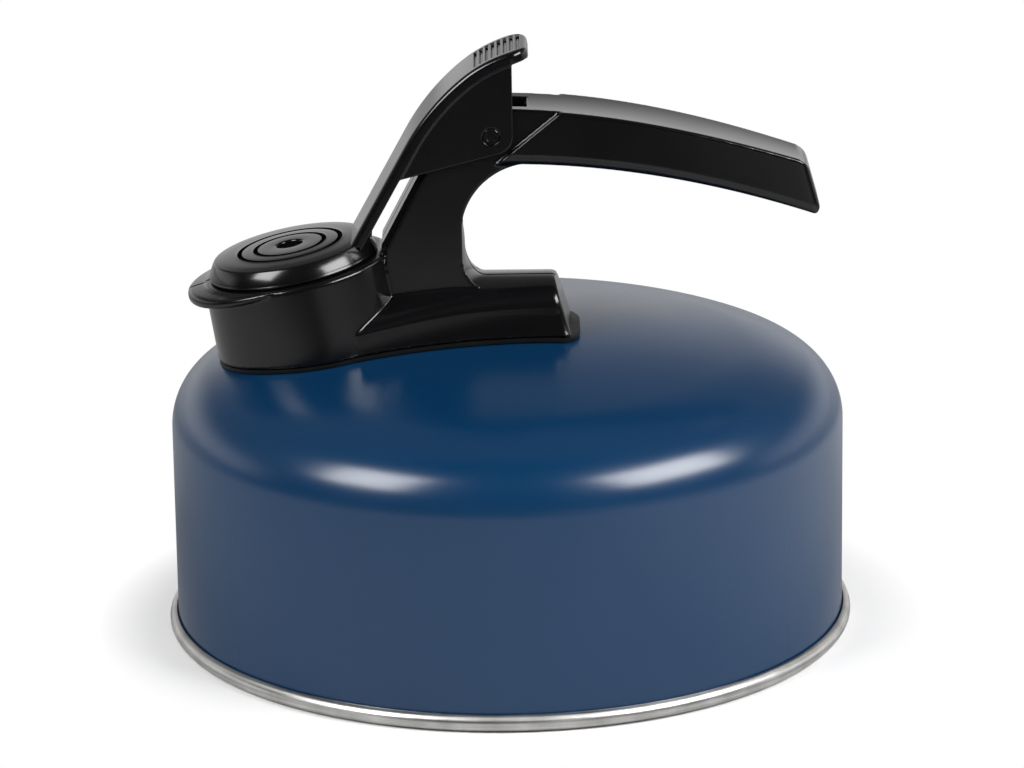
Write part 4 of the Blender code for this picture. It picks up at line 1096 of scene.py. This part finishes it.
def foot_rib():
    upper = strap_point(RIB_TOP, STRAP_THICKNESS / 2)
    inside = strap_point(STRAP_FOOT, STRAP_THICKNESS / 2)
    top = CAP_EDGE_HEIGHT - CAP_WALL
    inner = spout_point(-(CAP_RADIUS - CAP_WALL), top)
    outer = spout_point(-(CAP_RADIUS - CAP_WALL / 2), top)
    middle = spout_point(-CAP_RADIUS, CAP_EDGE_HEIGHT + CAP_WALL)
    outline = [(upper.x, upper.z), (inside.x, inside.z), inner, outer, middle]
    return prism(outline, -RIB_HALF_WIDTH, RIB_HALF_WIDTH)


def lever_arm():
    arm = make('arm', strap())
    cut(arm, *pad_grooves())
    rib = make('rib', foot_rib())
    for piece in (arm, rib):
        cut(piece, cap_core())
    cheeks = [make('cheek', cheek(1)), make('cheek', cheek(-1))]
    for piece in cheeks:
        cut(piece, pin_bore(CHEEK_BORE_HALF))
    piece = fuse('lever_arm', [arm, rib] + cheeks, BLACK, LEVER_VOXEL, 4)
    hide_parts('whistle_lever')
    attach(piece, 'lever')


def cap():
    """Turned whistle cap with two grooves in its crown and a round-edged hole."""
    top = CAP_EDGE_HEIGHT + CAP_CROWN
    ceiling = CAP_EDGE_HEIGHT - CAP_WALL
    rim = CAP_RADIUS - CAP_WALL
    seal_top = 2 * GAP + SEAL_THICKNESS
    seal_inside = SEAL_INNER_RADIUS - GAP
    bulge = CAP_SIDE_RADIUS
    side = arc(CAP_RADIUS - CAP_SIDE_INSET - bulge * math.cos(math.radians(CAP_SIDE_START)),
               CAP_SIDE_FOOT - bulge * math.sin(math.radians(CAP_SIDE_START)), bulge,
               CAP_SIDE_START, CAP_SIDE_END, 24)
    last_r, last_h = side[-1]
    turn = math.radians(CAP_SIDE_END)
    edge = arc(last_r - CAP_EDGE_ROUND * math.cos(turn), last_h - CAP_EDGE_ROUND * math.sin(turn),
               CAP_EDGE_ROUND, CAP_SIDE_END, 86, 14)
    bead = arc(CAP_RADIUS - CAP_BEAD, CAP_RIM_BOTTOM + CAP_BEAD, CAP_BEAD, -90, 40, 12)
    profile = [(rim, CAP_RIM_BOTTOM)] + bead + side + edge[1:]
    for radius in CAP_GROOVES:
        half = CAP_GROOVE_WIDTH / 2
        for i in range(4):
            r = profile[-1][0] + (radius + half - profile[-1][0]) * (i + 1) / 5
            profile.append((r, cap_height(r)))
        height = cap_height(radius)
        floor = height - CAP_GROOVE_DEPTH
        profile += [(radius + half, height), (radius + half * 0.7, floor),
                    (radius - half * 0.7, floor), (radius - half, height)]
    hole_edge = arc(CAP_HOLE_RADIUS + CAP_HOLE_CHAMFER, top - CAP_HOLE_CHAMFER,
                    CAP_HOLE_CHAMFER, 90, 180, 8)
    profile += hole_edge
    profile += [(CAP_HOLE_RADIUS, ceiling), (BOSS_INNER, ceiling), (BOSS_INNER, BOSS_BOTTOM),
                (BOSS_OUTER, BOSS_BOTTOM), (BOSS_OUTER, ceiling), (seal_inside, ceiling),
                (seal_inside, seal_top), (rim, seal_top)]
    piece = make('cap', revolve(profile, TURNED_STEPS, SPOUT_FRAME, closed=True), BLACK, 50)
    # Second slot: painted shade on the faces inside the two crown grooves
    piece.data.materials.append(PAINTED_GROOVE_SHADE)
    into_cap = SPOUT_FRAME.inverted()
    for face in piece.data.polygons:
        c = into_cap @ face.center
        r = math.hypot(c.x, c.y)
        in_groove = any(abs(r - radius) < CAP_GROOVE_WIDTH * 0.55 for radius in CAP_GROOVES)
        if in_groove and ceiling < c.z < cap_height(r) - 0.0001:
            face.material_index = 1
    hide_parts('whistle_lever')
    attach(piece, 'lever')


# Small pieces

def pin():
    half = COLUMN_HALF_WIDTH + CHEEK_GAP + CHEEK_THICKNESS
    end = [(PIN_RADIUS, half - PIN_CHAMFER), (PIN_RADIUS - PIN_CHAMFER, half),
           (PIN_RADIUS * PIN_DISH_EDGE, half), (PIN_RADIUS * PIN_DISH_FLOOR, half - PIN_DISH),
           (0, half - PIN_DISH)]
    profile = [(r, -h) for r, h in end[::-1]] + end
    piece = make('pin', revolve(profile, 72, PIN_FRAME), BLACK)
    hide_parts('hinge_pin')
    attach(piece, 'lever')


def spring_route():
    low = math.radians(COIL_LOWER_ANGLE)
    high = math.radians(COIL_UPPER_ANGLE)
    total = COIL_TURNS * FULL_TURN + high - low
    count = 160
    coils = []
    for i in range(count + 1):
        a = low + total * i / count
        y = -COIL_HALF_LENGTH + 2 * COIL_HALF_LENGTH * i / count
        coils.append(PIVOT + Vector((math.cos(a) * COIL_RADIUS, y, math.sin(a) * COIL_RADIUS)))
    leg = Vector((math.sin(low), 0, -math.cos(low))) * LOWER_LEG
    lower = [coils[0] + leg * (1 - i / 8) for i in range(8)]
    leg = Vector((-math.sin(high), 0, math.cos(high))) * UPPER_LEG
    upper = [coils[-1] + leg * i / 10 for i in range(1, 11)]
    return lower + coils + upper


def tube_mesh(route, radius, sides):
    """Round tube along a route, with closed ends."""
    mesh = bmesh.new()
    rings = []
    normal = Vector((0, 1, 0))
    for i, point in enumerate(route):
        ahead = route[min(i + 1, len(route) - 1)] - route[max(i - 1, 0)]
        ahead.normalize()
        normal = (normal - ahead * normal.dot(ahead)).normalized()
        side = ahead.cross(normal)
        ring = []
        for k in range(sides):
            a = FULL_TURN * k / sides
            ring.append(mesh.verts.new(point + (normal * math.cos(a) + side * math.sin(a)) * radius))
        rings.append(ring)
    for ring, after in zip(rings, rings[1:]):
        for k in range(sides):
            j = (k + 1) % sides
            mesh.faces.new((ring[k], ring[j], after[j], after[k]))
    mesh.faces.new(rings[0][::-1])
    mesh.faces.new(rings[-1])
    return clean(mesh)


def spring():
    piece = make('spring', tube_mesh(spring_route(), WIRE_RADIUS, 16), STEEL, 60)
    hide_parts('return_spring')
    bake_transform(piece)


def neck_foot():
    """Half outline where the neck meets the dome, from the front to the back."""
    half = []
    for i in range(91):
        turn = math.pi * (1 - i / 90)
        low, high = 0.0, 2 * NECK_LENGTH
        for _ in range(30):
            depth = (low + high) / 2
            radius = NECK_TOP_RADIUS + (NECK_FOOT_RADIUS - NECK_TOP_RADIUS) * depth / NECK_LENGTH
            around = Vector((radius * math.cos(turn), radius * math.sin(turn), -depth))
            point = NECK_FRAME @ around
            if point.z > dome_height(math.hypot(point.x, point.y)) + GASKET_THICKNESS:
                low = depth
            else:
                high = depth
        half.append((point.x, point.y))
    return half


def footprint(extra, tab):
    """Outline of the gasket seen from above."""
    neck_line = neck_foot()
    centre_x = (neck_line[0][0] + neck_line[-1][0]) / 2
    half = []
    for x, y in neck_line:
        away = math.hypot(x - centre_x, y)
        half.append((x + (x - centre_x) / away * extra, y * (1 + extra / away)))
    last_x = HEEL_X + SKIRT_FLARE + tab
    outline = []
    count = 150
    for i in range(count + 1):
        turn = math.pi * (1 - i / count)
        x = (half[0][0] + last_x) / 2 + (last_x - half[0][0]) / 2 * math.cos(turn)
        ring = 0.0
        for (x1, y1), (x2, y2) in zip(half, half[1:]):
            if x1 <= x <= x2:
                ring = y1 + (y2 - y1) * (x - x1) / max(x2 - x1, 1e-9)
        width = 0.0
        if x > RING_JOIN_X:
            width = saddle_half_width(min(x, HEEL_X)) + SKIRT_FLARE + extra
            past = max(x - (last_x - GASKET_CORNER), 0) / GASKET_CORNER
            width -= GASKET_CORNER_WIDTH * (1 - math.sqrt(max(1 - past ** 2, 0)))
        outline.append((x, max(ring, width)))
    outline = [point for point in outline if point[1] > 1e-5]
    return outline + [(x, -y) for x, y in outline[::-1]]


def gasket():
    """Thin sheet that follows the dome under the moulding."""
    sheet = prism(footprint(GASKET_LIP, GASKET_TAB), WALL_HEIGHT, FAR / 2)
    sheet.transform(Matrix(((1, 0, 0, 0), (0, 0, 1, 0), (0, 1, 0, 0), (0, 0, 0, 1))))
    bmesh.ops.recalc_face_normals(sheet, faces=sheet.faces)
    piece = make('gasket', sheet, BLACK_SILICONE, 30)
    keep(piece, dome_solid(GASKET_THICKNESS + GAP, WALL_HEIGHT / 2))
    cut(piece, dome_solid(GAP, WALL_HEIGHT / 4),
        rod(BORE_RADIUS, -FAR / 4, FAR / 4, TURNED_STEPS, SPOUT_FRAME))
    step = piece.modifiers.new('edge', 'BEVEL')
    step.width = GASKET_ROUND
    step.segments = 3
    step.limit_method = 'ANGLE'
    step.angle_limit = math.radians(50)
    apply_all(piece)
    piece.data.materials.clear()
    piece.data.materials.append(BLACK_SILICONE)
    piece.data.shade_smooth()
    piece.data.set_sharp_from_angle(angle=math.radians(30))
    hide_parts('saddle_gasket')
    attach(piece, 'kettle')


# Studio

def studio_floor():
    mesh = bmesh.new()
    bmesh.ops.create_grid(mesh, x_segments=2, y_segments=2, size=FLOOR_HALF)
    bmesh.ops.translate(mesh, verts=mesh.verts, vec=(0, 0, -FLOOR_DROP))
    floor = make('studio_floor', mesh, None, 0)
    n = Nodes('studio_floor_look')
    n.tree.nodes.remove(n.shader)
    parts = n.add('ShaderNodeSeparateXYZ')
    n.put(parts.inputs[0], n.place())
    x, y, _ = parts.outputs
    radius = n.radius(x, y)
    grain = n.noise(n.place(), 40, 3)
    lit = n.add('ShaderNodeBsdfDiffuse')
    # In the gloss the floor is pale by the kettle, behind it and to the right, and dark elsewhere
    behind = n.maths('ADD', n.band(y, -0.1, 0.2, 0.0, 0.42), n.band(y, 0.35, 0.7, 0.0, 0.5))
    table = n.maths('ADD', n.band(radius, 0.31, 0.46, 0.52, 0.04), n.band(x, 0.10, 0.28, 0.0, 0.30))
    table = n.maths('MAXIMUM', table, behind)
    pale = n.band(grain, 0.3, 0.7, 0.90, 0.93)
    path = n.add('ShaderNodeLightPath')
    direct = n.maths('SUBTRACT', 1.0, path.outputs['Is Glossy Ray'])
    level = n.maths('MULTIPLY', pale, n.maths('MAXIMUM', table, direct))
    grey = n.add('ShaderNodeCombineColor')
    for socket in grey.inputs[:3]:
        n.put(socket, level)
    n.put(lit.inputs['Color'], grey.outputs[0])
    white = n.add('ShaderNodeEmission')
    white.inputs['Strength'].default_value = 1.0
    fade = n.band(radius, 0.098, 0.121, 0.0, 1.0)
    far = n.maths('MULTIPLY', n.band(y, 0.40, 0.75, 0.0, 0.30), path.outputs['Is Glossy Ray'])
    share = n.maths('ADD', n.maths('MULTIPLY', fade, path.outputs['Is Camera Ray']), far)
    mix = n.add('ShaderNodeMixShader')
    n.put(mix.inputs[0], share)
    n.put(mix.inputs[1], lit.outputs[0])
    n.put(mix.inputs[2], white.outputs[0])
    n.put(n.output.inputs['Surface'], mix.outputs[0])
    floor.data.materials.append(n.material)


def studio_world():
    """White for the camera, a white backdrop behind and a dim room in front for gloss."""
    world = bpy.data.worlds.new('studio')
    bpy.context.scene.world = world
    n = Nodes('studio', world)
    n.tree.nodes.clear()
    parts = n.add('ShaderNodeSeparateXYZ')
    n.put(parts.inputs[0], n.add('ShaderNodeTexCoord').outputs['Generated'])
    _, y, z = parts.outputs
    behind = n.band(y, -0.15, 0.25, 0.0, 1.0, 'SMOOTHSTEP')
    low = n.band(z, 0.15, 0.40, 0.92, 0.12, 'SMOOTHSTEP')
    room = n.maths('ADD', n.maths('MULTIPLY', behind, low), DARKEST_ROOM)
    path = n.add('ShaderNodeLightPath').outputs
    mirror = n.maths('MAXIMUM', path['Is Glossy Ray'], path['Is Transmission Ray'])
    above = n.band(z, 0.2, 0.5, 0.55, 0.05, 'SMOOTHSTEP')
    soft = n.maths('MULTIPLY', n.maths('SUBTRACT', 1.0, mirror), above)
    strength = n.maths('ADD', n.maths('MULTIPLY', mirror, room), soft)
    ground = n.add('ShaderNodeBackground')
    n.put(ground.inputs['Color'], (1, 1, 1, 1))
    n.put(ground.inputs['Strength'], n.maths('MAXIMUM', strength, path['Is Camera Ray']))
    output = n.add('ShaderNodeOutputWorld')
    n.put(output.inputs['Surface'], ground.outputs[0])


def softbox(name, azimuth, elevation, distance, width, height, radiance):
    """Square lamp aimed at the kettle. Azimuth 0 is the camera's side, 90 the right."""
    a = math.radians(azimuth)
    e = math.radians(elevation)
    way = Vector((math.sin(a) * math.cos(e), -math.cos(a) * math.cos(e), math.sin(e)))
    data = bpy.data.lights.new(name, 'AREA')
    data.shape = 'RECTANGLE'
    data.size = width
    data.size_y = height
    data.energy = radiance * math.pi * width * height
    lamp = bpy.data.objects.new(name, data)
    bpy.context.scene.collection.objects.link(lamp)
    lamp.location = LAMP_TARGET + way * distance
    lamp.rotation_euler = way.to_track_quat('Z', 'Y').to_euler()


def photo_camera():
    data = bpy.data.cameras.new('photo_camera')
    data.sensor_width = SENSOR_MM
    data.lens = LENS_MM
    camera = bpy.data.objects.new('photo_camera', data)
    bpy.context.scene.collection.objects.link(camera)
    pitch = math.radians(CAMERA_PITCH)
    roll = math.radians(CAMERA_ROLL)
    right = Vector((1, 0, 0))
    up = Vector((0, math.sin(pitch), math.cos(pitch)))
    ahead = Vector((0, math.cos(pitch), -math.sin(pitch)))
    right, up = (right * math.cos(roll) + up * math.sin(roll),
                 up * math.cos(roll) - right * math.sin(roll))
    turned = Matrix((right, up, -ahead)).transposed().to_4x4()
    camera.matrix_world = Matrix.Translation(CAMERA_PLACE) @ turned
    bpy.context.scene.camera = camera


finish_nodes()
body_shell()
rolled_base()
handle()
lever_arm()
cap()
pin()
spring()
gasket()
studio_floor()
studio_world()
softbox('key_left', *KEY_LEFT)
softbox('key_right', *KEY_RIGHT)
photo_camera()
bpy.context.scene.view_settings.view_transform = 'Standard'
